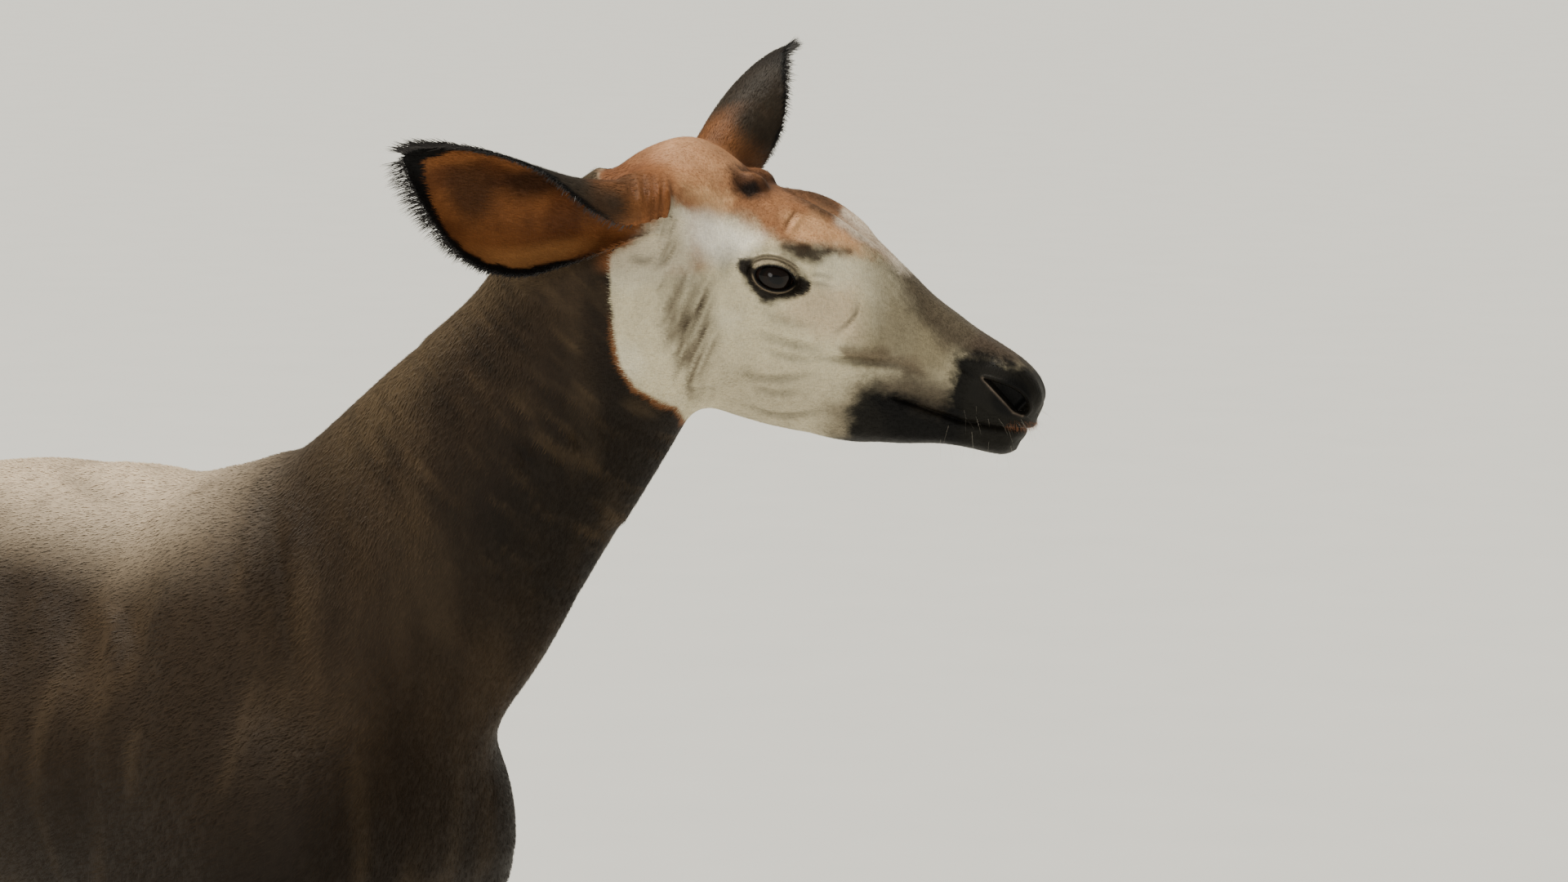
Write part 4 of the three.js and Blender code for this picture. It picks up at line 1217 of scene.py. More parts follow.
def fold_routes(tree):
    """The lines of all folds and ridges on the skin, on both sides, with their depths and widths."""
    routes = []
    tables = ((HEAD_CREASES, head_mirror), (NECK_CREASES, neck_mirror), (BODY_CREASES, body_mirror))
    for table, mirror in tables:
        for pixels, deep, wide in table:
            line = on_skin(tree, pixels, FOLD_POINTS)
            routes.append((line, deep * MM, wide * MM))
            routes.append((snapped(tree, mirror(line)), deep * MM, wide * MM))
    for points, deep, wide in FOREHEAD_LINES:
        line = from_head(curve(points, np.linspace(0, len(points) - 1, FOLD_POINTS)) * MM)
        routes.append((snapped(tree, line), deep * MM, wide * MM))
    return routes


def fold_shade(spots, routes):
    """Painted shade and highlight of the folds, as a factor for the colour: under 1 in a groove, a little
    over 1 on a ridge.
    """
    shade = np.ones(len(spots))
    for line, deep, wide in routes:
        near, gap, fade = beside(spots, line, wide)
        steep = np.clip(deep / wide, -1, 1) * fade * bell(gap, wide)
        shade[near] *= 1 - np.where(steep > 0, GROOVE_SHADE, RIDGE_HIGHLIGHT) * steep
    return shade


def outside_of(outline, points):
    """Distances of points in a plane from a closed outline, negative inside it."""
    start, end = outline, np.roll(outline, -1, 0)
    span = end - start
    to = points[:, None] - start
    share = np.clip((to * span).sum(2) / (span**2).sum(1), 0, 1)
    gap = np.linalg.norm(to - share[..., None] * span, axis=2).min(1)
    straddles = (start[:, 1] > points[:, 1:]) != (end[:, 1] > points[:, 1:])
    rise = np.where(span[:, 1] == 0, 1e-9, span[:, 1])
    left = points[:, :1] < start[:, 0] + span[:, 0] * (points[:, 1:] - start[:, 1]) / rise
    return np.where((straddles & left).sum(1) % 2 == 1, -gap, gap)


def eye_axes(side):
    """Middle of an eyeball, with the directions along its lids, up and out."""
    turned, slope = math.radians(EYE["turned"]), math.radians(EYE["slope"])
    out = np.array([math.sin(turned), side * math.cos(turned), 0])
    middle = from_head((np.array([EYE["forward"], side * EYE["out"], 0]) - EYE["radius"] * out) * MM)
    ahead = np.array([math.cos(turned), -side * math.sin(turned), 0])
    above = np.array([0, 0, 1.0])
    along = ahead * math.cos(slope) + above * math.sin(slope)
    up = above * math.cos(slope) - ahead * math.sin(slope)
    return middle, np.stack([along, up, out]) @ HEAD_AXES


def seen_at_eye(spots, side):
    """An eye's middle and axes, and points in these axes, mm."""
    middle, axes = eye_axes(side)
    return middle, axes, (spots - middle) @ axes.T / MM


def lid_height(across):
    """How far out the lids lie, mm, at a distance from the eye's axis."""
    squared = (EYE["radius"] + LID["over"]) ** 2 - (LID["flatness"] * across) ** 2
    return np.sqrt(np.maximum(squared, LID["least"] ** 2))


def almond():
    """The edge of the opening between the lids, mm."""
    corner, lid = EYE["long"] / 2, EYE["tall"] / 2
    t = np.linspace(0, 1, LID_POINTS, endpoint=False)[:, None]

    def bezier(*knots):
        a, b, c, d = (np.array(knot) for knot in knots)
        return a * (1 - t) ** 3 + 3 * b * t * (1 - t) ** 2 + 3 * c * t * t * (1 - t) + d * t**3

    upper = bezier((-corner, 0), (-corner * 0.96, lid * 1.2), (corner * 0.66, lid * 1.45), (corner, 0))
    lower = bezier((corner, 0), (corner * 0.62, -lid * 1.2), (-corner * 0.94, -lid * 1.2), (-corner, 0))
    return np.vstack([upper, lower])


def carve_eye(spots, side):
    """Lids over the eyeball: a rim, an almond opening with a wall, and the folds above and below."""
    middle, axes, local = seen_at_eye(spots, side)
    near = np.flatnonzero((np.hypot(local[:, 0], local[:, 1]) < 48) & (local[:, 2] > -4))
    along, up, out = local[near].T
    beyond = outside_of(almond(), local[near, :2])
    across = np.hypot(along, up)
    ball = np.sqrt(np.maximum(EYE["radius"] ** 2 - across**2, 0))
    lid = lid_height(across)
    hold = 1 - smooth(beyond, 2.5, 10)
    target = lid + (ball - 4 - lid) * smooth(-beyond, 0.1, 2.4)
    moved = out + (target - out) * hold
    weights = {"upper": smooth(up, -1, 6), "lower": smooth(-up, -1, 6)}
    for part, at, deep, wide in LID_FOLDS:
        moved -= weights[part] * deep * bell(beyond, wide, at)
    local[near, 2] = moved
    spots[near] = middle + local[near] * MM @ axes


def carve_nostrils(spots, tree):
    """Comma-shaped nostrils with a raised rim and the fold inside."""
    seen = on_skin(tree, NOSTRIL_RIM)
    for rim in (seen, head_mirror(seen)):
        middle = rim.mean(0)
        side = np.sign(to_head(middle)[1])
        long = unit(rim[4] - rim[0])
        out = unit(np.cross(rim[2] - rim[7], rim[4] - rim[0]))
        out *= side * np.sign(out @ LEFT)
        out = unit(out - long * (out @ long))
        axes = np.stack([long, np.cross(out, long), out])
        local = (spots - middle) @ axes.T / MM
        wide, deep = NOSTRIL["reach"]
        near = np.flatnonzero((np.linalg.norm(local[:, :2], axis=1) < wide) & (np.abs(local[:, 2]) < deep))
        edge = ((rim - middle) @ axes.T / MM)[:, :2]
        edge = closed_curve(edge, 60)
        beyond = outside_of(edge, local[near, :2])
        fold = bell(local[near, 0] - edge[:, 0].max(), 5, -9) * NOSTRIL["fold"]
        pit = NOSTRIL["depth"] * smooth(-beyond, 0, NOSTRIL["wall"]) * (1 - fold)
        raised = NOSTRIL["rim"] * bell(beyond, 1.9, 1.6)
        spots[near] -= out * ((pit - raised) * MM)[:, None]


def above_mouth(local):
    """How far points of the head frame lie above the line between the lips, mm."""
    line = np.array(MOUTH, float)
    return local[:, 2] - np.interp(local[:, 0], line[:, 0], line[:, 1])


def carve_mouth(spots, normals):
    """The line between the lips, from the corner of the mouth round the front."""
    local = to_head(spots) / MM
    near = np.flatnonzero((local[:, 0] > MOUTH[0][0]) & (local[:, 2] < -20))
    off = above_mouth(local[near])
    fade = smooth(local[near, 0], *MOUTH_CORNER)
    groove = sum(deep * bell(off, wide, at) for at, deep, wide in MOUTH_FOLDS)
    spots[near] -= normals[near] * (groove * fade * MM)[:, None]


def refine(whole, inside):
    """Splits every face edge inside a region in two."""
    spots = np.array([vert.co for vert in whole.verts])
    chosen = inside(spots)
    whole.verts.index_update()
    edges = [e for e in whole.edges if chosen[e.verts[0].index] and chosen[e.verts[1].index]]
    bmesh.ops.subdivide_edges(whole, edges=edges, cuts=1, use_grid_fill=True)


def near_face_details(spots):
    """Where the face needs points about 1 mm apart: eyes, muzzle, and the wrinkles before the ears."""
    local = to_head(spots) / MM
    chosen = np.abs(local[:, 2] - FINE["mouth_height"]) < FINE["mouth_reach"]
    chosen = (local[:, 0] > FINE["muzzle_from"]) | ((local[:, 0] > FINE["mouth_from"]) & chosen)
    forward, out, up = FINE["wrinkles"]
    for side in SIGN.values():
        chosen |= near_place(local, (0, side * EYE["out"], 0), FINE["eye_reach"])
        chosen |= near_place(local, (forward, side * out, up), FINE["wrinkles_reach"])
    return chosen


def near_place(local, middle, reach):
    """Which points of the head frame lie near a place in it, mm."""
    return np.linalg.norm(local - middle, axis=1) < reach


def near_openings(spots):
    """Where it needs points closer still: the lids' edges and the nostrils."""
    local = to_head(spots) / MM
    chosen = (local[:, 0] > FINEST["nose_from"]) & (np.abs(local[:, 1]) > FINEST["nose_out"])
    chosen &= np.abs(local[:, 2] - FINEST["nose_height"]) < FINEST["nose_reach"]
    for side in SIGN.values():
        chosen |= near_place(local, (0, side * EYE["out"], 0), FINEST["eye_reach"])
    return chosen


def relaxed(spots, edges, weight, times):
    """Evens out the points where weight is above zero, without shrinking the shape."""
    a, b = edges.T
    count = np.bincount(a, minlength=len(spots)) + np.bincount(b, minlength=len(spots))
    for step in range(2 * times):
        total = np.stack(
            [
                np.bincount(a, spots[b, k], len(spots)) + np.bincount(b, spots[a, k], len(spots))
                for k in range(3)
            ],
            1,
        )
        pull = SMOOTHING["pull"] if step % 2 == 0 else -SMOOTHING["push"]
        spots = spots + (pull * weight)[:, None] * (total / count[:, None] - spots)
    return spots


def ear_weight(spots):
    """1 on the ears away from their roots, 0 on the rest."""
    weight = np.zeros(len(spots))
    for side_name in SIGN:
        _, share, off = near_ear(spots, side_name)
        weight = np.maximum(weight, smooth(share, 0.06, 0.2) * (off < 0.16))
    return weight


def seam_weight(spots):
    """1 where the fine and the coarse part of the skin were sewn together, fading out on both sides."""
    middle, along, _, _ = neck_frames(np.array([SEAM_STEP]))
    return bell((spots - middle[0]) @ along[0], SEAM_FADE) * (spots[:, 0] > 0)


def sculpted_skin():
    """The skin's mesh in the animal's frame, with the face and folds carved in, and the folds' lines."""
    whole = joined_skin()
    refine(whole, near_face_details)
    refine(whole, near_openings)
    bmesh.ops.triangulate(whole, faces=[face for face in whole.faces if len(face.verts) > 4])
    mesh = bpy.data.meshes.new("skin")
    whole.to_mesh(mesh)
    whole.free()
    spots = read(mesh.vertices, "co", 3)
    tree = BVHTree.FromPolygons(spots.tolist(), [polygon.vertices[:] for polygon in mesh.polygons])
    edges = read(mesh.edges, "vertices", 2, np.int32)
    spots = relaxed(spots, edges, ear_weight(spots), SMOOTHING["ears"])
    spots = relaxed(spots, edges, seam_weight(spots), SMOOTHING["seam"])
    normals = read(mesh.vertices, "normal", 3)
    carve_mouth(spots, normals)
    folds = fold_routes(tree)
    for line, deep, wide in folds:
        crease(spots, normals, line, deep, wide)
    for side in SIGN.values():
        carve_eye(spots, side)
    carve_nostrils(spots, tree)
    mesh.vertices.foreach_set("co", spots.ravel())
    mesh.polygons.foreach_set("use_smooth", np.ones(len(mesh.polygons), bool))
    mesh.update()
    return mesh, folds


def read(items, name, width, kind=np.float64):
    values = np.empty(len(items) * width, kind)
    items.foreach_get(name, values)
    return values.reshape(-1, width)


def linear(colour):
    """A colour as a screen shows it, 0 to 255, or one of COLOURS by its name, in linear light."""
    share = np.array(COLOURS[colour] if isinstance(colour, str) else colour) / 255
    return np.where(share <= 0.04045, share / 12.92, ((share + 0.055) / 1.055) ** 2.4)


def lattice(corner, seed):
    mixed = corner[:, 0] * 73856093 ^ corner[:, 1] * 19349663 ^ corner[:, 2] * 83492791 ^ seed * 2654435761
    mixed = (mixed ^ (mixed >> 13)) * 1274126177
    return ((mixed ^ (mixed >> 16)) & 0xFFFF) / 32767.5 - 1


def noise(points, scale, seed=0):
    """Smooth noise from -1 to 1 in cells of this size, or of these three sizes."""
    cell = points / scale
    base = np.floor(cell).astype(np.int64)
    part = smooth(cell - base, 0, 1)
    total = 0.0
    for corner in np.ndindex(2, 2, 2):
        weight = np.prod(np.where(corner, part, 1 - part), axis=1)
        total = total + weight * lattice(base + corner, seed)
    return total


class Paint:
    """Colours laid over one another on a set of points."""

    def __init__(self, count, colour):
        self.tint = np.tile(linear(colour), (count, 1))

    def lay(self, colour, cover):
        self.tint += (linear(colour) - self.tint) * np.clip(cover, 0, 1)[:, None]


def profile_outline(tree, pixels):
    """Where an outline drawn on the photo lies in the head's own side view, mm. Points off the skin keep the
    depth of the head's middle plane."""
    outline = []
    for pixel in pixels:
        spot, ray = pixel_ray(pixel)
        hit = tree.ray_cast(Vector(spot), Vector(ray))[0]
        if hit is None or abs(to_head(np.array(hit))[1]) > FACE_REACH:
            hit = spot + ray * ((HEAD_MIDDLE - spot) @ LEFT) / (ray @ LEFT)
        outline.append(to_head(np.array(hit))[[0, 2]] / MM)
    return np.array(outline)


def ear_place(spots, normals, side_name):
    """Places on an ear: share of its length, turn towards a rim of the cup (1 at the rim), whether inside the
    cup, whether near the ear at all, distance from the rim and from the ear's middle line, mm."""
    start, length, mouth, width = ear_frame(side_name)
    share = (spots - start) @ length / (EAR_LENGTH * MM)
    radius, angle, twist = between(EAR_ROLL, np.clip(share, EAR_ROLL[0][0], 1)).T
    swell = np.sin(np.pi * np.clip(share, 0, 1)) * MM
    middle = start + np.outer(share * EAR_LENGTH * MM, length)
    middle += np.outer(radius * MM - EAR_BOW * swell, mouth)
    middle += np.outer(EAR_SET[side_name]["droop"] * swell, width)
    off = spots - middle
    turn = np.degrees(np.arctan2(off @ width, -(off @ mouth))) + twist
    inside = (off * normals).sum(1) < 0
    reach = np.linalg.norm(off, axis=1) - radius * MM
    near = (share > 0.0) & (share < 1.1) & (np.abs(reach + 0.002) < 0.013) & (np.abs(turn) < angle * 1.15 + 9)
    rim_gap = (1 - np.abs(turn) / angle) * np.radians(angle) * radius
    rim_gap = np.minimum(rim_gap, (1.01 - share) * EAR_LENGTH)
    return share, turn / angle, inside, near, rim_gap, np.linalg.norm(off, axis=1) / MM


def head_and_neck_places(spots):
    """Points in the head frame, mm, and the nearest step along the neck to each."""
    local = to_head(spots) / MM
    steps = np.linspace(0, NECK[-1][0], 40)
    middle = neck_frames(steps)[0]
    nearest = steps[np.linalg.norm(spots[:, None, :] - middle, axis=2).argmin(1)]
    return local, nearest


def paint_head(paint, tree, spots, local, ears):
    """The pale face, the tan crown, and the dark muzzle, chin and eye surround."""
    side_view = local[:, [0, 2]]
    ragged = 2.6 * noise(spots, 0.014, 3) + 1.6 * noise(spots, 0.004, 4)
    streaks = noise(to_head(spots), np.array([0.004, 0.02, 0.03]), 5)
    soft = 3 + 13 * smooth(local[:, 2], 0, 60)
    inward = -outside_of(profile_outline(tree, FACE_EDGE), side_view)
    on_head = smooth((inward + 0.5 * ragged + 0.6 * (soft - 3) * noise(spots, 0.03, 8)) / soft, -1, 1)
    off_ears = np.abs(local[:, 1]) < FACE_WIDTH
    on_head *= off_ears
    lower_rim = smooth(-np.abs(inward + ragged + 2), -7, -1) * smooth(-local[:, 2], 105, 150)
    lower_rim *= smooth(120 - local[:, 0], 0, 60) * off_ears
    paint.lay("face_rim", lower_rim * 0.6)
    paint.lay("face", on_head)
    paint.lay("face_light", on_head * smooth(noise(spots, 0.05, 6), 0.1, 0.6) * 0.6)

    streaky = on_head * (0.62 + 0.6 * streaks)
    lay_markings(paint, tree, side_view, FACE_STREAKS, streaky, ragged)
    lay_markings(paint, tree, side_view, FACE_GROUND, on_head, ragged)
    for share, _, _, _, _, spread in ears:
        rooted = smooth(share, -0.3, -0.12) * smooth(0.2 - share, 0, 0.1) * smooth(-spread, -80, -64)
        paint.lay("ear_root", rooted * 0.9)
    lay_markings(paint, tree, side_view, FACE_MARKINGS, on_head, ragged)
    paint_eye_surrounds(paint, spots, ragged)
    paint_nostrils(paint, tree, spots)


def lay_markings(paint, tree, side_view, markings, cover, ragged):
    """Paints a table of markings, each inside its outline in the head's side view."""
    for colour, soft, strength, rough, pixels in markings.values():
        edge = -outside_of(profile_outline(tree, pixels), side_view) + rough * ragged
        paint.lay(colour, smooth(edge, -soft, soft) * strength * cover)


def paint_eye_surrounds(paint, spots, ragged):
    """Dark smudges round the eyes, pale upper lids with painted shade in their two folds, black lid edges."""
    for side in SIGN.values():
        eye = seen_at_eye(spots, side)[2]
        near = np.flatnonzero((np.linalg.norm(eye[:, :2], axis=1) < 60) & (eye[:, 2] > -10))
        beyond = outside_of(almond(), eye[near, :2])
        along, up = eye[near, 0], eye[near, 1]
        reach = 7 + 15 * bell(along, 14, -36) * bell(up, 9, 3)
        reach += 13 * bell(along, 15, 34) * bell(up, 12, 2)
        reach += 10 * bell(along, 17, -3) * (up < 0) + 1.4 * ragged[near]
        lid = smooth(up, 2, 8) * smooth(30 - np.abs(along + 2), 0, 10)
        cover = np.zeros(len(spots))
        cover[near] = smooth(reach - beyond, -6, 6) * (1 - 0.82 * lid)
        paint.lay("eye_smudge", cover * 0.95)
        cover[near] = smooth(reach - 5 - beyond, -5, 4) * (1 - 0.9 * lid)
        paint.lay("eye_smudge_deep", cover * 0.8)
        cover[near] = lid * smooth(11 - beyond, -3, 3) * smooth(beyond, 0, 2)
        paint.lay("upper_lid", cover * 0.75)
        # painted shade in the two folds of the upper lid
        cover[near] = lid * (bell(beyond, 1.3, 6) + bell(beyond, 1.4, 9.6))
        paint.lay("lid_fold_shade", cover * 0.7)
        cover[near] = smooth(1.5 - beyond, -0.8, 0.8)
        paint.lay("lid_edge", cover)
        cover[near] = bell(beyond, 0.8, 2.2) * smooth(-up, 1, 6)
        paint.lay("lower_lid", cover * 0.55)


def paint_nostrils(paint, tree, spots):
    """Painted shade, near black, inside the nostrils, with a thin painted highlight along the rim below them.
    """
    seen = on_skin(tree, NOSTRIL_RIM)
    for rim in (seen, head_mirror(seen)):
        near = np.flatnonzero(np.linalg.norm(spots - rim.mean(0), axis=1) < 0.05)
        cover = np.zeros(len(spots))
        cover[near] = smooth(-np.linalg.norm(spots[near] - rim.mean(0), axis=1) / MM, -27, -17)
        # painted shade in the nostrils' pits
        paint.lay("nostril_shade", cover * 0.95)
        cover[near] = bell(along_line(spots[near], rim[:5])[0] / MM, 1.5)
        # painted highlight along the nostril's lower rim
        paint.lay("nostril_rim_highlight", cover * 0.6)


def paint_ears(paint, spots, ears):
    """Tan cups with darker hollows, dark backs, and black rims that widen towards the tips."""
    for share, turn, inside, near, rim_gap, _ in ears:
        rough = 3.5 * noise(spots, 0.012, 11) + 2.0 * noise(spots, 0.004, 12)
        root = smooth(share, 0.02, 0.12) * near
        mottled = noise(spots, 0.03, 13)
        cup = root * inside
        back = root * ~inside
        paint.lay("ear_cup", cup)
        paint.lay("ear_cup_deep", cup * smooth(mottled, 0.0, 0.5) * 0.8)
        for colour, at, reach, strength in CUP_SPOTS:
            gap = np.hypot((share - at[0]) / reach[0], (turn - at[1]) / reach[1])
            paint.lay(colour, cup * smooth(-gap, -1, -0.3) * strength)
        paint.lay("ear_back_root", back)
        paint.lay("ear_back", back * smooth(share + 0.12 * mottled, 0.12, 0.34))
        paint.lay("ear_back_tip", back * smooth(share + 0.12 * mottled, 0.34, 0.62))
        lower = smooth(turn, -0.2, 0.2)
        band = 6 + 9 * lower * smooth(share, 0.2, 0.5) + 26 * smooth(share, 0.76, 0.96)
        paint.lay("ear_rim", root * smooth(band + rough - rim_gap, -2.5, 2.5) * smooth(share, 0.12, 0.3))


def paint_body(paint, spots):
    """Dark chocolate, with painted sunlight pale along the back and painted shade low on the shoulder and
    down the throat, a painted highlight on the crest of the neck and painted light and shade of wrinkles
    across it. Distances are in metres, and those of the neck are taken along, across and towards the crest
    of its middle part."""
    x, _, z = spots.T
    wide = noise(spots, 0.16, 21)
    fine = noise(spots, np.array([0.02, 0.02, 0.09]), 22)
    middle, along, across, crest = neck_frames(np.array([MID_NECK]))
    local = (spots - middle[0]) @ np.stack([along[0], across[0], crest[0]], 1)
    on_neck = smooth(local[:, 0], -0.16, 0.02)
    # bands across the neck for the painted light and shade of its wrinkles
    wrinkles = noise(local, np.array([0.0075, 0.06, 0.05]), 24)
    wrinkles += 0.7 * noise(local, np.array([0.016, 0.1, 0.07]), 25)
    paint.lay("coat_warm", smooth(wide + 0.5 * fine, -0.2, 1.3) * 0.6)
    # painted shade low on the shoulder and chest, darker further down
    paint.lay("shoulder_shade", smooth(-z, -1.38, -0.95) * smooth(x, -0.55, -0.05) * 0.8)
    # painted shade down the underside of the neck
    paint.lay("throat_shade", on_neck * smooth(-local[:, 2] + 0.02 * wide, -0.05, 0.09) * 0.75)
    # painted highlight along the crest of the neck
    paint.lay("nape_highlight", on_neck * smooth(local[:, 2] + 0.03 * wide, 0.06, 0.15) * 0.7)
    # painted highlight on the wrinkles' ridges, then painted shade in the wrinkles themselves
    paint.lay("neck_ridge_highlight", on_neck * smooth(wrinkles, 0.1, 1.3) * 0.45)
    paint.lay("neck_wrinkle_shade", on_neck * smooth(-wrinkles, 0.1, 1.3) * 0.6)
    # painted sunlight: the top of the trunk paler along its whole length, as if lit from above
    paint.lay("back", smooth(z + 0.02 * wide, 1.34, 1.475) * smooth(-x, -0.08, 0.3) * 0.9)
    paint.lay("flank_streak", smooth(noise(spots, np.array([0.03, 0.03, 0.2]), 23), 0.1, 1.0) * 0.3)
    paint.lay("legs", smooth(-z, -0.95, -0.8) * 0.7)


def least(first, *others):
    """The least of several arrays, point by point."""
    for other in others:
        first = np.minimum(first, other)
    return first


def stripe_fields(spots):
    """For the white markings: stripe phase, and how far inside the striped and plain white zones, metres."""
    x, y, z = spots.T
    wobble = sum(size * noise(spots, cell, seed) for size, cell, seed in STRIPE_WOBBLE)
    hind = x < HIND_FROM
    thigh, arm = THIGH_STRIPES, FORELEG_STRIPES
    thigh_rise = thigh["slope"] * (x - thigh["level_at"])
    thigh_rise += thigh["bend"] * np.maximum(x - thigh["bend_from"], 0) ** 2
    from_middle = x - arm["middle"]
    rise = np.where(hind, thigh_rise, arm["slope"] * from_middle)
    period = np.where(hind, thigh["period"], arm["period"])
    phase = (z + rise + wobble) / period
    index = np.floor(phase).astype(np.int64)
    key = np.stack([index, np.where(hind, 1, 2), np.sign(y).astype(np.int64)], 1)
    uneven = lattice(key, 7)
    front_edge = thigh["front"] + thigh["front_leans"] * smooth(-z, -1.3, -0.9)
    front_edge += thigh["front_ragged"] * uneven
    off_tail = np.maximum(np.abs(y) - thigh["tail_half"], x - thigh["tail_from"])
    thigh_zone = least(
        front_edge - x,
        thigh["high"] - z + thigh["ragged"] * uneven,
        z - thigh["low"],
        np.abs(y) - thigh["seam"],
        off_tail,
    )
    higher = smooth(z, *arm["taper"])
    arm_zone = least(
        arm["high"] - z + arm["tilt"] * from_middle + arm["ragged"] * uneven,
        z - arm["low"],
        arm["half"] - arm["half_tapers"] * higher - np.abs(from_middle),
        np.abs(y) - arm["outer"] - arm["outer_leans"] * higher + arm["outer_ragged"] * uneven,
    )
    zone = np.where(hind, thigh_zone, arm_zone)
    ring = 0.004 * noise(spots, 0.02, 33)
    leg_top = np.where(hind, LEG_WHITE["hind_top"], LEG_WHITE["fore_top"])
    slant = LEG_WHITE["slant"] * np.where(hind, x + 0.96, -(x + 0.06))
    pale = np.minimum(leg_top - z + slant, z - LEG_WHITE["bottom"]) + ring
    by_side = {end: np.where(y > 0, STEP[end]["left"], STEP[end]["right"]) for end in STEP}
    step = np.where(hind, by_side["hind"], by_side["front"]) * MM
    shin = np.where(hind, SHINS["hind"], SHINS["fore"]) + step
    front_line = shin - x - 0.012 + 0.02 * smooth(-z, -0.36, -0.2)
    pale = np.where(hind, pale, np.minimum(pale, np.maximum(front_line, 0.006 - 0.35 * np.abs(z - 0.2))))
    sock = np.minimum(SOCK[1] - z, z - SOCK[0]) + ring
    pale = np.maximum(pale, sock)
    pale = np.where(z < WHITE_LEGS_BELOW, pale, -0.1)
    return phase, zone, pale


def mark(mesh, tree, folds):
    """Lays the markings on the skin, and gives them back as arrays for the coat."""
    spots = read(mesh.vertices, "co", 3)
    normals = read(mesh.vertices, "normal", 3)
    local = to_head(spots) / MM
    paint = Paint(len(spots), "coat")
    paint_body(paint, spots)
    upper = np.flatnonzero((local[:, 0] > FACE_FROM[0]) & (local[:, 2] > FACE_FROM[1]))
    face = Paint(len(upper), "coat")
    face.tint = paint.tint[upper]
    ears = [ear_place(spots[upper], normals[upper], side_name) for side_name in SIGN]
    paint_head(face, tree, spots[upper], local[upper], ears)
    paint_ears(face, spots[upper], ears)
    paint.tint[upper] = face.tint
    # painted shade in the grooves and painted highlight on the ridges of all folds
    paint.tint *= fold_shade(spots, folds)[:, None]
    phase, zone, pale = stripe_fields(spots)
    fields = {"tint": paint.tint, "phase": phase, "zone": zone, "pale": pale}
    set_fields(mesh, fields)
    return fields


def set_fields(mesh, fields):
    """Puts the markings on a mesh as point attributes."""
    tint = np.concatenate([fields["tint"], np.ones((len(fields["tint"]), 1))], 1)
    mesh.attributes.new("tint", "FLOAT_COLOR", "POINT").data.foreach_set("color", tint.ravel())
    for name in ("phase", "zone", "pale"):
        values = np.asarray(fields[name], np.float32)
        mesh.attributes.new(name, "FLOAT", "POINT").data.foreach_set("value", values)


class Nodes:
    """Short calls for building a material."""

    def __init__(self, name):
        self.material = bpy.data.materials.new(name)
        self.material.use_nodes = True
        self.tree = self.material.node_tree
        self.shader = self.tree.nodes["Principled BSDF"]

    def add(self, kind, **inputs):
        node = self.tree.nodes.new("ShaderNode" + kind)
        for name, value in inputs.items():
            self.feed(node, name.replace("_", " "), value)
        return node

    def feed(self, node, name, value):
        socket = node.inputs[int(name)] if name.isdigit() else node.inputs[name]
        if isinstance(value, bpy.types.NodeSocket):
            self.tree.links.new(value, socket)
        else:
            socket.default_value = value

    def math(self, operation, first, second=0.0, third=0.0):
        node = self.tree.nodes.new("ShaderNodeMath")
        node.operation = operation
        for index, value in enumerate((first, second, third)):
            self.feed(node, str(index), value)
        return node.outputs[0]

    def squares(self, first, second):
        """The sum of the squares of two values."""
        return self.math("ADD", self.math("POWER", first, 2.0), self.math("POWER", second, 2.0))

    def ramp(self, value, low, high):
        """0 below low and 1 above high."""
        node = self.tree.nodes.new("ShaderNodeMapRange")
        node.interpolation_type = "SMOOTHSTEP"
        self.feed(node, "Value", value)
        node.inputs["From Min"].default_value = low
        node.inputs["From Max"].default_value = high
        return node.outputs[0]

    def attribute(self, name, output="Fac"):
        node = self.tree.nodes.new("ShaderNodeAttribute")
        node.attribute_name = name
        return node.outputs[output]

    def noise(self, place, scale, detail=2.0):
        node = self.tree.nodes.new("ShaderNodeTexNoise")
        self.feed(node, "Vector", place)
        node.inputs["Scale"].default_value = scale
        node.inputs["Detail"].default_value = detail
        return node.outputs["Fac"]

    def stretched(self, scale=(1.0, 1.0, 1.0)):
        """Object coordinates with each axis multiplied."""
        place = self.tree.nodes.new("ShaderNodeTexCoord").outputs["Object"]
        node = self.tree.nodes.new("ShaderNodeVectorMath")
        node.operation = "MULTIPLY"
        self.feed(node, "0", place)
        node.inputs[1].default_value = scale
        return node.outputs[0]

    def mix(self, share, first, second, blend="MIX"):
        node = self.tree.nodes.new("ShaderNodeMix")
        node.data_type = "RGBA"
        node.blend_type = blend
        for index, value in ((0, share), (6, first), (7, second)):
            self.feed(node, str(index), value)
        return node.outputs[2]

    def bump(self, height, strength, distance, after=None):
        node = self.tree.nodes.new("ShaderNodeBump")
        node.inputs["Strength"].default_value = strength
        node.inputs["Distance"].default_value = distance
        self.feed(node, "Height", height)
        if after is not None:
            self.feed(node, "Normal", after)
        return node.outputs[0]

    def set(self, **values):
        for name, value in values.items():
            self.feed(self.shader, name.replace("_", " "), value)


def opaque(colour):
    return (*linear(colour), 1)


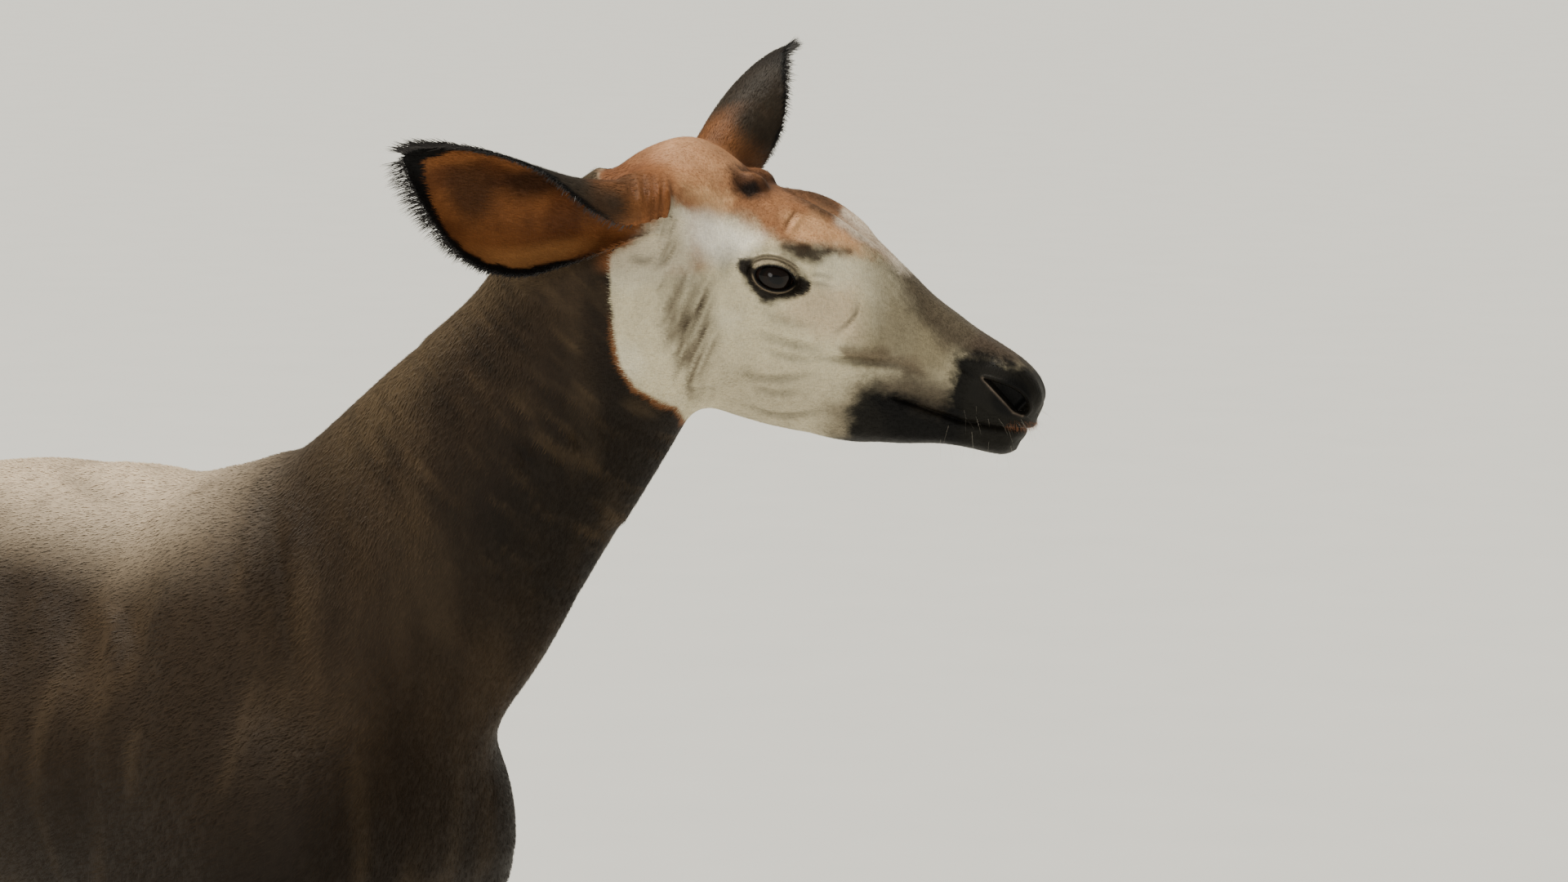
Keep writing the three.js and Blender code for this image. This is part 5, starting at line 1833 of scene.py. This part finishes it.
def marked_colour(nodes):
    """The colours of skin and coat alike: the tints, then the white stripes and socks with ragged edges."""
    edge_noise = nodes.noise(nodes.stretched((1.0, 1.0, 0.45)), 260.0)
    ragged = nodes.math("MULTIPLY_ADD", edge_noise, RAGGED_EDGE, -RAGGED_EDGE / 2)
    phase = nodes.math("FRACT", nodes.attribute("phase"))
    band = nodes.math("ABSOLUTE", nodes.math("SUBTRACT", phase, 0.5))
    swell = nodes.noise(nodes.stretched(), 14.0)
    half = nodes.math("MULTIPLY_ADD", swell, STRIPE["swell"], STRIPE["half"])
    zone = nodes.attribute("zone")
    thinner = nodes.math("MULTIPLY_ADD", nodes.ramp(zone, STRIPE["ends"], 0.0), -STRIPE["thinner"], ragged)
    from_edge = nodes.math("SUBTRACT", half, band)
    inside = nodes.math("MULTIPLY_ADD", from_edge, THIGH_STRIPES["period"], thinner)
    taper = nodes.math("MULTIPLY_ADD", zone, STRIPE["taper"], ragged)
    striped = nodes.ramp(nodes.math("MINIMUM", inside, taper), *STRIPE["edge"])
    plain = nodes.ramp(nodes.math("ADD", nodes.attribute("pale"), ragged), *STRIPE["sock_edge"])
    white = nodes.math("MAXIMUM", striped, plain)
    return nodes.mix(white, nodes.attribute("tint", "Color"), opaque("white"))


def coat_material(name, on_skin_itself):
    """Short velvet fur. On the skin it is bump and fine streaks, on the blades a different shade for each."""
    nodes = Nodes(name)
    colour = marked_colour(nodes)
    patchy = nodes.noise(nodes.stretched((1.0, 1.0, 0.6)), 60.0, 3.0)
    if on_skin_itself:
        fine = nodes.noise(nodes.stretched((1.0, 1.0, 0.3)), 700.0, 3.0)
        shade = nodes.math("MULTIPLY_ADD", fine, 0.55, nodes.math("MULTIPLY_ADD", patchy, 0.35, 0.42))
        nodes.set(Normal=nodes.bump(fine, 0.5, 0.0012, nodes.bump(patchy, 0.35, 0.004)))
        nodes.set(Sheen_Weight=0.025)
    else:
        island = nodes.add("NewGeometry").outputs["Random Per Island"]
        shade = nodes.math("MULTIPLY_ADD", island, 0.38, nodes.math("MULTIPLY_ADD", patchy, 0.35, 0.66))
        nodes.set(Sheen_Weight=0.03)
    nodes.set(Base_Color=nodes.mix(1.0, colour, shade, "MULTIPLY"))
    nodes.set(Roughness=0.55, Specular_IOR_Level=0.12)
    nodes.set(Sheen_Roughness=0.45, Sheen_Tint=(1.0, 0.88, 0.74, 1.0))
    return nodes.material


def hair_material(name, colour, lighter):
    """Longer hair: lighter at random, a little glossy."""
    nodes = Nodes(name)
    island = nodes.add("NewGeometry").outputs["Random Per Island"]
    streak = nodes.noise(nodes.stretched((1.0, 1.0, 0.2)), 400.0)
    share = nodes.math("MULTIPLY_ADD", streak, 0.5, nodes.math("MULTIPLY", island, 0.5))
    nodes.set(Base_Color=nodes.mix(share, opaque(colour), opaque(lighter)))
    nodes.set(Roughness=0.5, Specular_IOR_Level=0.5, Sheen_Weight=0.15)
    return nodes.material


class Ground:
    """The skin as a ground for hair: triangles to draw roots from, and an unwrap to bake them on."""

    def __init__(self, skin_mesh, fields):
        skin_mesh.calc_loop_triangles()
        self.corners = read(skin_mesh.loop_triangles, "vertices", 3, np.int32)
        self.area = read(skin_mesh.loop_triangles, "area", 1)[:, 0]
        self.spots = read(skin_mesh.vertices, "co", 3)
        self.normals = read(skin_mesh.vertices, "normal", 3)
        self.fields = fields
        self.unwrap(skin_mesh)

    def unwrap(self, skin_mesh):
        """A light copy of the skin, unfolded into flat islands."""
        copy = object_from("unwrap", skin_mesh.copy())
        lighten = copy.modifiers.new("lighten", "DECIMATE")
        lighten.ratio = UNWRAP_SHARE
        light = bpy.data.meshes.new_from_object(copy.evaluated_get(bpy.context.evaluated_depsgraph_get()))
        copy.modifiers.clear()
        copy.data = light
        bpy.context.view_layer.objects.active = copy
        copy.select_set(True)
        bpy.ops.object.mode_set(mode="EDIT")
        bpy.ops.mesh.select_all(action="SELECT")
        bpy.ops.uv.smart_project(angle_limit=math.radians(66), island_margin=0.002)
        bpy.ops.object.mode_set(mode="OBJECT")
        light.calc_loop_triangles()
        loops = read(light.loop_triangles, "loops", 3, np.int32)
        self.flat = read(light.uv_layers.active.data, "uv", 2)[loops]
        self.light = read(light.vertices, "co", 3)[read(light.loop_triangles, "vertices", 3, np.int32)]
        corners = np.arange(len(self.light) * 3).reshape(-1, 3)
        self.tree = BVHTree.FromPolygons(self.light.reshape(-1, 3).tolist(), corners.tolist())
        bpy.data.objects.remove(copy)

    def flat_place(self, spots):
        """Where points of the skin lie on its unwrap."""
        found = [self.tree.find_nearest(Vector(spot)) for spot in spots]
        face = np.array([hit[2] for hit in found])
        hit = np.array([hit[0][:] for hit in found])
        a, b, c = self.light[face].transpose(1, 0, 2)
        whole = np.cross(b - a, c - a)
        size = np.maximum((whole**2).sum(1), 1e-18)
        second = (np.cross(hit - a, c - a) * whole).sum(1) / size
        third = (np.cross(b - a, hit - a) * whole).sum(1) / size
        shares = np.clip(np.stack([1 - second - third, second, third], 1), 0, 1)
        return (self.flat[face] * shares[..., None]).sum(1)

    def roots(self, chosen, count, rng):
        """Random places on the triangles whose first corner is chosen."""
        weight = self.area * chosen[self.corners[:, 0]]
        ends = np.cumsum(weight)
        face = np.searchsorted(ends, rng.random(count) * ends[-1])
        first, second = rng.random((2, count))
        turn = first + second > 1
        first, second = np.where(turn, 1 - first, first), np.where(turn, 1 - second, second)
        shares = np.stack([1 - first - second, first, second], 1)

        def blend(values):
            values = values[self.corners[face]]
            return np.einsum("nk,nk...->n...", shares, values)

        fields = {name: blend(values) for name, values in self.fields.items()}
        return blend(self.spots), unit(blend(self.normals)), fields


def ribbons(name, spines, sides, widths, flat, fields, material):
    """One mesh of flat blades on spines (blade, section, 3), each widened sideways and drawn to a point."""
    count, sections, _ = spines.shape
    spread = sides[:, None] * (widths[:, :-1] / 2)[..., None]
    pairs = np.stack([spines[:, :-1] - spread, spines[:, :-1] + spread], 2).reshape(count, -1, 3)
    points = np.concatenate([pairs, spines[:, -1:]], 1)
    each = points.shape[1]
    step = np.arange(sections - 2)[:, None] * 2
    quads = step + np.array([0, 1, 3, 2])
    pattern = np.concatenate([quads.ravel(), [each - 3, each - 2, each - 1]])
    starts = np.concatenate([np.arange(sections - 2) * 4, [4 * (sections - 2)]])
    loops = (np.arange(count)[:, None] * each + pattern).ravel()
    loop_starts = (np.arange(count)[:, None] * len(pattern) + starts).ravel()
    mesh = bpy.data.meshes.new(name)
    mesh.vertices.add(count * each)
    mesh.vertices.foreach_set("co", place(points.reshape(-1, 3)).ravel())
    mesh.loops.add(len(loops))
    mesh.loops.foreach_set("vertex_index", loops.astype(np.int32))
    mesh.polygons.add(len(loop_starts))
    mesh.polygons.foreach_set("loop_start", loop_starts.astype(np.int32))
    mesh.polygons.foreach_set("use_smooth", np.ones(len(loop_starts), bool))
    rows = np.linspace(-0.5, 0.5, sections)[:-1]
    patch = np.array([(side, row) for row in rows for side in (-0.5, 0.5)] + [(0, 0.5)]) * PATCH
    layer = mesh.uv_layers.new(name="OFBake")
    layer.data.foreach_set("uv", (flat[:, None] + patch[pattern]).ravel())
    if fields is not None:
        set_fields(mesh, {key: np.repeat(values, each, axis=0) for key, values in fields.items()})
    mesh.materials.append(material)
    mesh.update()
    mesh.validate()
    made = object_from(name, mesh)
    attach(made, "root")
    return made


def across_of(normals, lie):
    """Directions laid flat on the skin, and the directions across them."""
    lie = unit(lie - normals * (lie * normals).sum(1, keepdims=True))
    return lie, unit(np.cross(normals, lie))


def lie_of_coat(spots, local, steps):
    """The way the hair runs: back along the trunk, down the neck and legs, up the face from the nose."""
    x, y, z = spots.T
    lie = np.tile((-1.0, 0.0, -0.5), (len(spots), 1))
    _, along, _, _ = neck_frames(steps)
    on_neck = (smooth(steps, 0.8, 2.2) * (z > 1.05) * (x > -0.1))[:, None]
    lie += (-along * 0.75 - (0, 0, 0.65) - lie) * on_neck
    on_leg = smooth(-z, -1.0, -0.75)[:, None]
    lie += (np.array([-0.12, 0, -1.0]) - lie) * on_leg
    on_tail = ((x < -1.1) & (np.abs(y) < 0.07) & (z < 1.31))[:, None]
    lie += (np.array([-0.1, 0, -1.0]) - lie) * on_tail
    on_head = (smooth(local[:, 0], -215, -150) * (local[:, 2] > -200))[:, None]
    droop = smooth(-local[:, 2], -20, 60)[:, None] * 0.55
    lie += (-FORWARD - UP * droop - lie) * on_head
    for side_name in SIGN:
        length, share, off = near_ear(spots, side_name)
        on_ear = (smooth(share, 0.0, 0.15) * (off < 0.14) * (share < 1.1))[:, None]
        lie += (length - lie) * on_ear
    return lie


def coat_size(spots, local, steps, ears):
    """Length, width and lift of the hair at each place, mm."""
    size = np.tile(np.array(COAT_SIZES["trunk"], float), (len(spots), 1))
    on_head = smooth(local[:, 0], -260, -170) * (local[:, 2] > -215) * (spots[:, 2] > 1.4)
    for part, share in (
        ("legs", smooth(-spots[:, 2], -0.98, -0.72)),
        ("neck", smooth(steps, 0.9, 2.2) * (spots[:, 2] > 1.05) * (spots[:, 0] > -0.1)),
        ("head", on_head),
        ("ears", np.full(len(spots), float(ears))),
    ):
        size += (np.array(COAT_SIZES[part]) - size) * share[:, None]
    return size.T


def coat_piece(name, ground, chosen, count, material, rng):
    """Short flat hair on one part of the skin."""
    spots, normals, fields = ground.roots(chosen, count, rng)
    local, steps = places_in_parts(spots)
    length, width, lift = coat_size(spots, local, steps, name == "coat_ears")
    lie = unit(lie_of_coat(spots, local, steps)) + rng.normal(0, 0.11, (count, 3))
    lie += 0.16 * np.stack([noise(spots, 0.05, 40 + k) for k in range(3)], 1)
    lie, side = across_of(normals, lie)
    long = (length * rng.uniform(0.65, 1.2, count) * MM)[:, None]
    raised = (lift * rng.uniform(0.5, 1.25, count) * MM)[:, None]
    spines = np.stack(
        [
            spots - normals * 0.0008,
            spots + lie * long * 0.5 + normals * raised * 0.75,
            spots + lie * long + normals * raised * 0.8,
        ],
        1,
    )
    widths = width[:, None] * MM * rng.uniform(0.7, 1.25, (count, 1)) * np.array([1.0, 0.8, 0.0])
    return ribbons(name, spines, side, widths, ground.flat_place(spots), fields, material)


def places_in_parts(spots, size=40000):
    """The places of many points on head and neck, found in parts to save memory."""
    parts = [head_and_neck_places(spots[start : start + size]) for start in range(0, len(spots), size)]
    return np.concatenate([part[0] for part in parts]), np.concatenate([part[1] for part in parts])


def coat_regions(ground):
    """Which points of the skin each coat piece grows on."""
    x, y, z = ground.spots.T
    local, steps = places_in_parts(ground.spots)
    limits = COAT_LIMITS
    ear = np.zeros(len(x), bool)
    for side_name in SIGN:
        share, _, _, near, _, _ = ear_place(ground.spots, ground.normals, side_name)
        ear |= near & (share > 0.1)
    head = (local[:, 0] > limits["head_back"]) & (local[:, 2] > limits["head_low"]) & ~ear & (z > 1.4)
    bare = np.zeros(len(x), bool)
    for side in SIGN.values():
        eye = seen_at_eye(ground.spots, side)[2]
        near = (np.linalg.norm(eye[:, :2], axis=1) < 34) & (eye[:, 2] > -10)
        bare[near] |= outside_of(almond(), eye[near, :2]) < limits["eye_bare"]
    nostrils = (local[:, 0] > limits["nostril_from"]) & (local[:, 2] > -34) & (local[:, 2] < 12)
    bare |= (local[:, 0] > limits["nose"]) | nostrils
    legs = z < limits["leg_top"]
    neck = (steps > limits["neck_from"]) & (z > 1.08) & (x > -0.02) & ~head & ~ear
    tail = (x < limits["tail_from"]) & (np.abs(y) < 0.06) & (z < 1.31) & (z > 0.85)
    trunk = ~(ear | head | neck | legs | tail)
    sides = {"left": y > 0, "right": y <= 0}
    return {
        "coat_trunk_left": trunk & sides["left"],
        "coat_trunk_right": trunk & sides["right"],
        "coat_neck": neck,
        "coat_head": head & ~bare,
        "coat_ears": ear,
        "coat_legs": legs & (z > limits["hoof_top"]) & ~tail,
        "coat_tail": tail,
    }


def ear_fringes(ground, material, rng):
    """Black hair along both rims of the ears, longest at the tips."""
    spines, sides, widths = [], [], []
    for side_name in SIGN:
        _, length, mouth, _ = ear_frame(side_name)
        count = FRINGE["count"]
        share = rng.beta(1.6, 1.1, count) * 0.9 + 0.1
        rim = rng.choice((-1.0, 1.0), count)
        angle = between(EAR_ROLL, share)[:, 1]
        inset = rng.uniform(0, 1, count) ** 1.5
        at = rim * angle * (1 - 0.16 * inset)
        root = ear_point(side_name, share, at, EAR_WALL * rng.uniform(0.1, 0.9, count))
        out = unit(ear_point(side_name, share, at + rim * 6, 1.5) - ear_point(side_name, share, at, 1.5))
        tip = smooth(share, 0.55, 1.0)
        lie = out * (0.9 - 0.5 * tip)[:, None] + length * (0.55 + 0.6 * tip)[:, None]
        lie = unit(lie + rng.normal(0, 0.17, (count, 3)))
        long = FRINGE["short"] + (FRINGE["long"] - FRINGE["short"]) * tip
        long = long * rng.uniform(0.5, 1.15, count) * MM
        sag = np.array([0, 0, -0.16])
        places = HAIR_PLACES[:, None]
        spine = root[:, None] + lie[:, None] * long[:, None, None] * places
        spine += sag * long[:, None, None] * places**2
        spines.append(spine)
        sides.append(unit(np.cross(lie, mouth + rng.normal(0, 0.3, (count, 3)))))
        width = FRINGE["width"] * MM * rng.uniform(0.6, 1.3, (count, 1))
        widths.append(width * np.array([1.0, 0.85, 0.55, 0.0]))
    return long_hair("ear_fringes", ground, material, spines, sides, widths)


def long_hair(name, ground, material, spines, sides, widths):
    """One mesh of the hair of several places."""
    spines, sides, widths = np.concatenate(spines), np.concatenate(sides), np.concatenate(widths)
    return ribbons(name, spines, sides, widths, ground.flat_place(spines[:, 0]), None, material)


def tail_tuft(ground, material, rng):
    """The switch: long dark hair over the lower half of the dock."""
    count = SWITCH["count"]
    knots = np.array(TAIL_PATH, float) * MM
    last = len(knots) - 1
    share = rng.uniform(SWITCH["from"], 0.99, count)
    middle = curve(knots, share * last)
    along = unit(curve(knots, np.minimum(share + 0.02, 1) * last) - curve(knots, (share - 0.02) * last))
    turn = rng.uniform(0, 2 * np.pi, count)[:, None]
    out = unit(np.cross(along, (0, 1.0, 0)))
    out = out * np.cos(turn) + np.array([0, 1.0, 0]) * np.sin(turn)
    radius = tail_radius(share) - 0.003
    root = middle + out * (radius * 0.8)[:, None]
    long = SWITCH["length"] * MM * rng.uniform(0.55, 1.05, count)
    places = SWITCH_PLACES
    flare = 0.2 * np.sin(np.pi * places * 0.8) * np.exp(-places)
    wave = 0.03 * np.sin(places * 5 + rng.uniform(0, 6, (count, 1)))
    spine = root[:, None] + along[:, None] * (long[:, None] * places)[..., None]
    spine += out[:, None] * (long[:, None] * (flare + wave))[..., None]
    spine[..., 2] = np.maximum(spine[..., 2], 0.02)
    side = unit(np.cross(out, along) + rng.normal(0, 0.3, (count, 3)))
    widths = SWITCH["width"] * MM * rng.uniform(0.6, 1.3, (count, 1)) * np.array([1, 1, 0.8, 0.5, 0])
    return ribbons("tail_switch", spine, side, widths, ground.flat_place(root), None, material)


def lashes(ground, material, rng):
    """Upper and lower eyelashes."""
    spines, sides, widths = [], [], []
    edge = almond()
    for side in SIGN.values():
        middle, axes = eye_axes(side)
        for lid in ("upper", "lower"):
            first, last, count, long = LASHES[lid]
            spot = curve(edge[first:last], rng.uniform(0, last - first - 1, count))
            sign = np.sign(spot[:, 1])
            out = lid_height(np.linalg.norm(spot, axis=1)) - LASHES["sunk"]
            root = np.column_stack([spot * 1.02, out])
            lie = np.column_stack([spot[:, 0] * 0.012, sign * 0.12, np.full(count, 1.0)])
            lie = unit(lie + rng.normal(0, 0.16, (count, 3)))
            curl = np.column_stack([np.zeros(count), sign * 0.35, np.full(count, -0.2)])
            size = (long * rng.uniform(0.4, 1.15, count))[:, None, None]
            places = HAIR_PLACES[:, None]
            spine = root[:, None] + size * (lie[:, None] * places + curl[:, None] * places**2)
            spines.append(middle + spine * MM @ axes)
            sides.append(np.tile(axes[0], (count, 1)))
            width = LASHES["width"] * MM * rng.uniform(0.7, 1.2, (count, 1))
            widths.append(width * np.array([1, 0.9, 0.6, 0]))
    return long_hair("lashes", ground, material, spines, sides, widths)


def lip_hairs(name, ground, material, rng, chosen, hairs, aim):
    """Hairs that stand out from the lips."""
    count = hairs["count"]
    spots, normals, _ = ground.roots(chosen, count, rng)
    lie = unit(normals * 0.7 + aim + rng.normal(0, 0.2, (count, 3)))
    long = (hairs["length"] * rng.uniform(0.4, 1.1, count) * MM)[:, None, None]
    places = HAIR_PLACES[:, None]
    spine = (spots - normals * 0.001)[:, None] + long * lie[:, None] * places
    spine += long * np.array([0, 0, -0.22]) * places**2
    side = unit(np.cross(lie, normals + rng.normal(0, 0.4, (count, 3))))
    widths = hairs["width"] * MM * rng.uniform(0.7, 1.2, (count, 1)) * np.array([1, 0.8, 0.5, 0])
    return ribbons(name, spine, side, widths, ground.flat_place(spots), None, material)


def grow_coat(skin_mesh, fields):
    """All the hair, drawn one piece after another from one row of random numbers."""
    ground = Ground(skin_mesh, fields)
    rng = np.random.default_rng(COAT_SEED)
    fur = coat_material("fur", False)
    for name, chosen in coat_regions(ground).items():
        coat_piece(name, ground, chosen, COATS[name], fur, rng)
    ear_fringes(ground, hair_material("fringe_hair", "fringe", "fringe_light"), rng)
    tail_tuft(ground, hair_material("switch_hair", "switch", "switch_light"), rng)
    lashes(ground, hair_material("lash_hair", "lash", "lash_light"), rng)
    local = to_head(ground.spots) / MM
    off = above_mouth(local)
    reddish = hair_material("lip_hair", "lip_hair", "lip_hair_light")
    front = (local[:, 0] > 300) & (off > 0.5) & (off < 13)
    lip_hairs("lip_fringe", ground, reddish, rng, front, LIP_FRINGE, FORWARD * 0.7 - UP * 0.9)
    whisker = hair_material("whisker_hair", "whisker", "whisker_light")
    beard = (local[:, 0] > 235) & (off < -4) & (local[:, 2] < -60)
    lip_hairs("whiskers_chin", ground, whisker, rng, beard, CHIN_WHISKERS, FORWARD * 0.4 - UP * 0.8)
    upper_lip = front | ((local[:, 0] > 250) & (off > 3) & (off < 26))
    lip_hairs("whiskers_lip", ground, whisker, rng, upper_lip, LIP_WHISKERS, FORWARD * 0.6 - UP * 0.3)


def solid_piece(name, points, faces, values, material):
    """A smooth closed piece, in the animal's frame, with values for its material at its points."""
    mesh = bpy.data.meshes.new(name)
    mesh.from_pydata(place(points).tolist(), [], faces)
    mesh.polygons.foreach_set("use_smooth", np.ones(len(faces), bool))
    for key, column in values.items():
        column = np.ascontiguousarray(column, np.float32)
        mesh.attributes.new(key, "FLOAT", "POINT").data.foreach_set("value", column)
    mesh.materials.append(material)
    shape = bmesh.new()
    shape.from_mesh(mesh)
    bmesh.ops.recalc_face_normals(shape, faces=shape.faces[:])
    shape.to_mesh(mesh)
    shape.free()
    return object_from(name, mesh)


def eye_material():
    """A dark wet eye: a level slot of a pupil in a deep brown iris."""
    nodes = Nodes("eye_wet")
    along, up = nodes.attribute("along"), nodes.attribute("up")
    across = nodes.math("SQRT", nodes.squares(along, up))
    slot = nodes.squares(*(nodes.math("DIVIDE", way, half) for way, half in zip((along, up), PUPIL)))
    streaks = nodes.noise(nodes.stretched(), 900.0, 3.0)
    iris = nodes.mix(streaks, opaque("iris"), opaque("iris_streak"))
    colour = nodes.mix(nodes.ramp(slot, 0.85, 1.15), opaque("pupil"), iris)
    colour = nodes.mix(nodes.ramp(across, *IRIS_EDGE), colour, opaque("eye_rim"))
    white = nodes.mix(streaks, opaque("eye_white"), opaque("eye_white_streak"))
    colour = nodes.mix(nodes.ramp(across, *EYE_WHITE_FROM), colour, white)
    nodes.set(Base_Color=colour, Roughness=0.12, Specular_IOR_Level=0.1)
    nodes.set(Coat_Weight=0.3, Coat_Roughness=0.03, Coat_IOR=1.38)
    return nodes.material


def make_eyes():
    """Fine eyeballs with the bulge of the cornea, in the places of the solids' eyes."""
    material = eye_material()
    for side_name, side in SIGN.items():
        middle, axes = eye_axes(side)
        tilt = np.linspace(0, np.pi, EYE_RINGS)[:, None]
        turn = np.linspace(0, 2 * np.pi, EYE_SIDES, endpoint=False)
        reach = EYE["radius"] + CORNEA["raised"] * bell(tilt, CORNEA["wide"])
        rings = np.stack(
            [
                reach * np.sin(tilt) * np.cos(turn) * 1.03,
                reach * np.sin(tilt) * np.sin(turn),
                np.broadcast_to(reach * np.cos(tilt), (EYE_RINGS, EYE_SIDES)),
            ],
            -1,
        )[1:-1]
        points, quads, triangles = closed_tube(rings)
        faces = quads.tolist() + triangles.tolist()
        faces = faces if side > 0 else [face[::-1] for face in faces]
        seen = {"along": points[:, 0], "up": points[:, 1]}
        eye = solid_piece("eyeball_" + side_name, middle + points * MM @ axes, faces, seen, material)
        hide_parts("eye_" + side_name)
        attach(eye, "root")


def hoof_material():
    """Dark horn with fine rings and worn edges."""
    nodes = Nodes("hoof_horn")
    rings = nodes.noise(nodes.stretched((6.0, 6.0, 260.0)), 1.0, 3.0)
    streaks = nodes.noise(nodes.stretched((190.0, 190.0, 12.0)), 1.0, 2.0)
    colour = nodes.mix(streaks, opaque("horn"), opaque("horn_streak"))
    height = nodes.attribute("height")
    colour = nodes.mix(nodes.ramp(height, 12.0, 0.0), colour, opaque("horn_worn"))
    nodes.set(Base_Color=colour, Roughness=0.48, Specular_IOR_Level=0.45)
    nodes.set(Normal=nodes.bump(rings, 0.4, 0.0012, nodes.bump(streaks, 0.2, 0.0006)))
    return nodes.material


def claw(toe, middle, outer):
    """One claw: a toe-pointed oval at the sole, drawn back as it rises, its outer wall sloping in, ringed."""
    around = np.linspace(0, 2 * np.pi, CLAW_SIDES, endpoint=False)
    along, wide = np.cos(around), np.sin(around)
    top = HOOF["heel_height"] + (HOOF["toe_height"] - HOOF["heel_height"]) * (1 + along) / 2
    rings = []
    for level in np.linspace(0, 1, CLAW_LEVELS):
        height = level * top
        ring = 0.3 * np.sin(height * 0.9) * (height > 3)
        tuck = 2.2 * max(0.0, 1 - level * 10) ** 2 + 4.0 * smooth(level, 0.9, 1.06) ** 2
        half = HOOF["width"] / 2 * (1 - 0.28 * height / HOOF["toe_height"])
        width = wide * (1 - 0.36 * np.maximum(along, 0) ** 1.5) * (half + ring - tuck)
        back = HOOF["slope"] * height / HOOF["toe_height"]
        x = toe - back - (HOOF["length"] / 2 - 0.14 * height) * (1 - along) + (ring - tuck) * along
        rings.append(np.stack([x, middle - outer * (HOOF["width"] / 2 - half) + width, height], -1))
    return np.array(rings) * MM


def make_hooves():
    """Two claws on each foot, in the places of the solids' claws."""
    material = hoof_material()
    for end, rows in (("front", FORELEG), ("hind", HINDLEG)):
        for side_name, side in SIGN.items():
            toe = rows[0][1] + STEP[end][side_name] + HOOF["toe_front"]
            for claw_name, outer in (("outer", 1), ("inner", -1)):
                middle = side * (rows[0][3] + outer * (HOOF["width"] + HOOF["cleft"]) / 2)
                points, quads, triangles = closed_tube(claw(toe, middle, side * outer))
                node = "hoof_" + end + "_" + side_name + "_" + claw_name
                faces = quads.tolist() + triangles.tolist()
                height = {"height": points[:, 2] / MM}
                made = solid_piece(node.replace("hoof", "claw"), points, faces, height, material)
                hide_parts(node)
                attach(made, "root")


def place(points):
    """Points of the animal's own frame in the model's frame."""
    return np.asarray(points, float) - FLOOR_MIDDLE


def object_from(name, data):
    made = bpy.data.objects.new(name, data)
    bpy.context.scene.collection.objects.link(made)
    return made


def camera():
    """The photo's view, as a real lens: her right side, a little from in front."""
    right, up, view, spot = camera_axes()
    data = bpy.data.cameras.new("camera")
    data.sensor_width = SENSOR_WIDTH
    data.lens = CAMERA["lens_pixels"] * data.sensor_width / PHOTO_SIZE[0]
    made = object_from("camera", data)
    matrix = Matrix.Translation(place(spot))
    for row in range(3):
        matrix[row][:3] = right[row], up[row], -view[row]
    made.matrix_world = matrix
    bpy.context.scene.camera = made


def light(name, kind, towards):
    """A light of the table LIGHTS, which shines against the direction towards."""
    data = bpy.data.lights.new(name, kind)
    data.energy = LIGHTS[name]["energy"]
    data.color = LIGHTS[name]["colour"]
    lamp = object_from(name, data)
    lamp.rotation_euler = Vector(towards).to_track_quat("Z", "Y").to_euler()
    return lamp


def stage():
    """A plain pale floor, and soft light from above and from before her."""
    nodes = Nodes("studio")
    speck = nodes.noise(nodes.stretched(), 3.0)
    nodes.set(Base_Color=nodes.mix(speck, FLOOR["pale"], FLOOR["paler"]))
    nodes.set(Roughness=0.9, Specular_IOR_Level=0.2)
    bpy.ops.mesh.primitive_plane_add(size=FLOOR["size"], location=(0, 0, 0))
    floor = bpy.context.object
    floor.name = "studio_floor"
    floor.data.materials.append(nodes.material)
    world = bpy.data.worlds.new("studio")
    bpy.context.scene.world = world
    world.use_nodes = True
    background = world.node_tree.nodes["Background"]
    background.inputs["Color"].default_value = LIGHTS["room"]["colour"]
    background.inputs["Strength"].default_value = LIGHTS["room"]["strength"]
    sky = light("sky", "SUN", LIGHTS["sky"]["from"])
    sky.data.angle = math.radians(LIGHTS["sky"]["spread"])
    front = light("front", "AREA", Vector(LIGHTS["front"]["at"]) - Vector(LIGHTS["front"]["aim"]))
    front.data.shape = "DISK"
    front.data.size = LIGHTS["front"]["size"]
    front.location = LIGHTS["front"]["at"]


def build():
    """The whole scene, from the skin to the stage."""
    camera()
    skin_mesh, folds = sculpted_skin()
    spots = read(skin_mesh.vertices, "co", 3)
    tree = BVHTree.FromPolygons(spots.tolist(), [polygon.vertices[:] for polygon in skin_mesh.polygons])
    fields = mark(skin_mesh, tree, folds)
    grow_coat(skin_mesh, fields)
    make_eyes()
    make_hooves()
    skin_mesh.vertices.foreach_set("co", place(spots).ravel())
    skin_mesh.materials.append(coat_material("fur_on_skin", True))
    skin = object_from("skin", skin_mesh)
    flesh = [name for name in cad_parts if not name.startswith(("hoof", "eye"))]
    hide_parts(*flesh)
    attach(skin, "root")
    stage()


build()
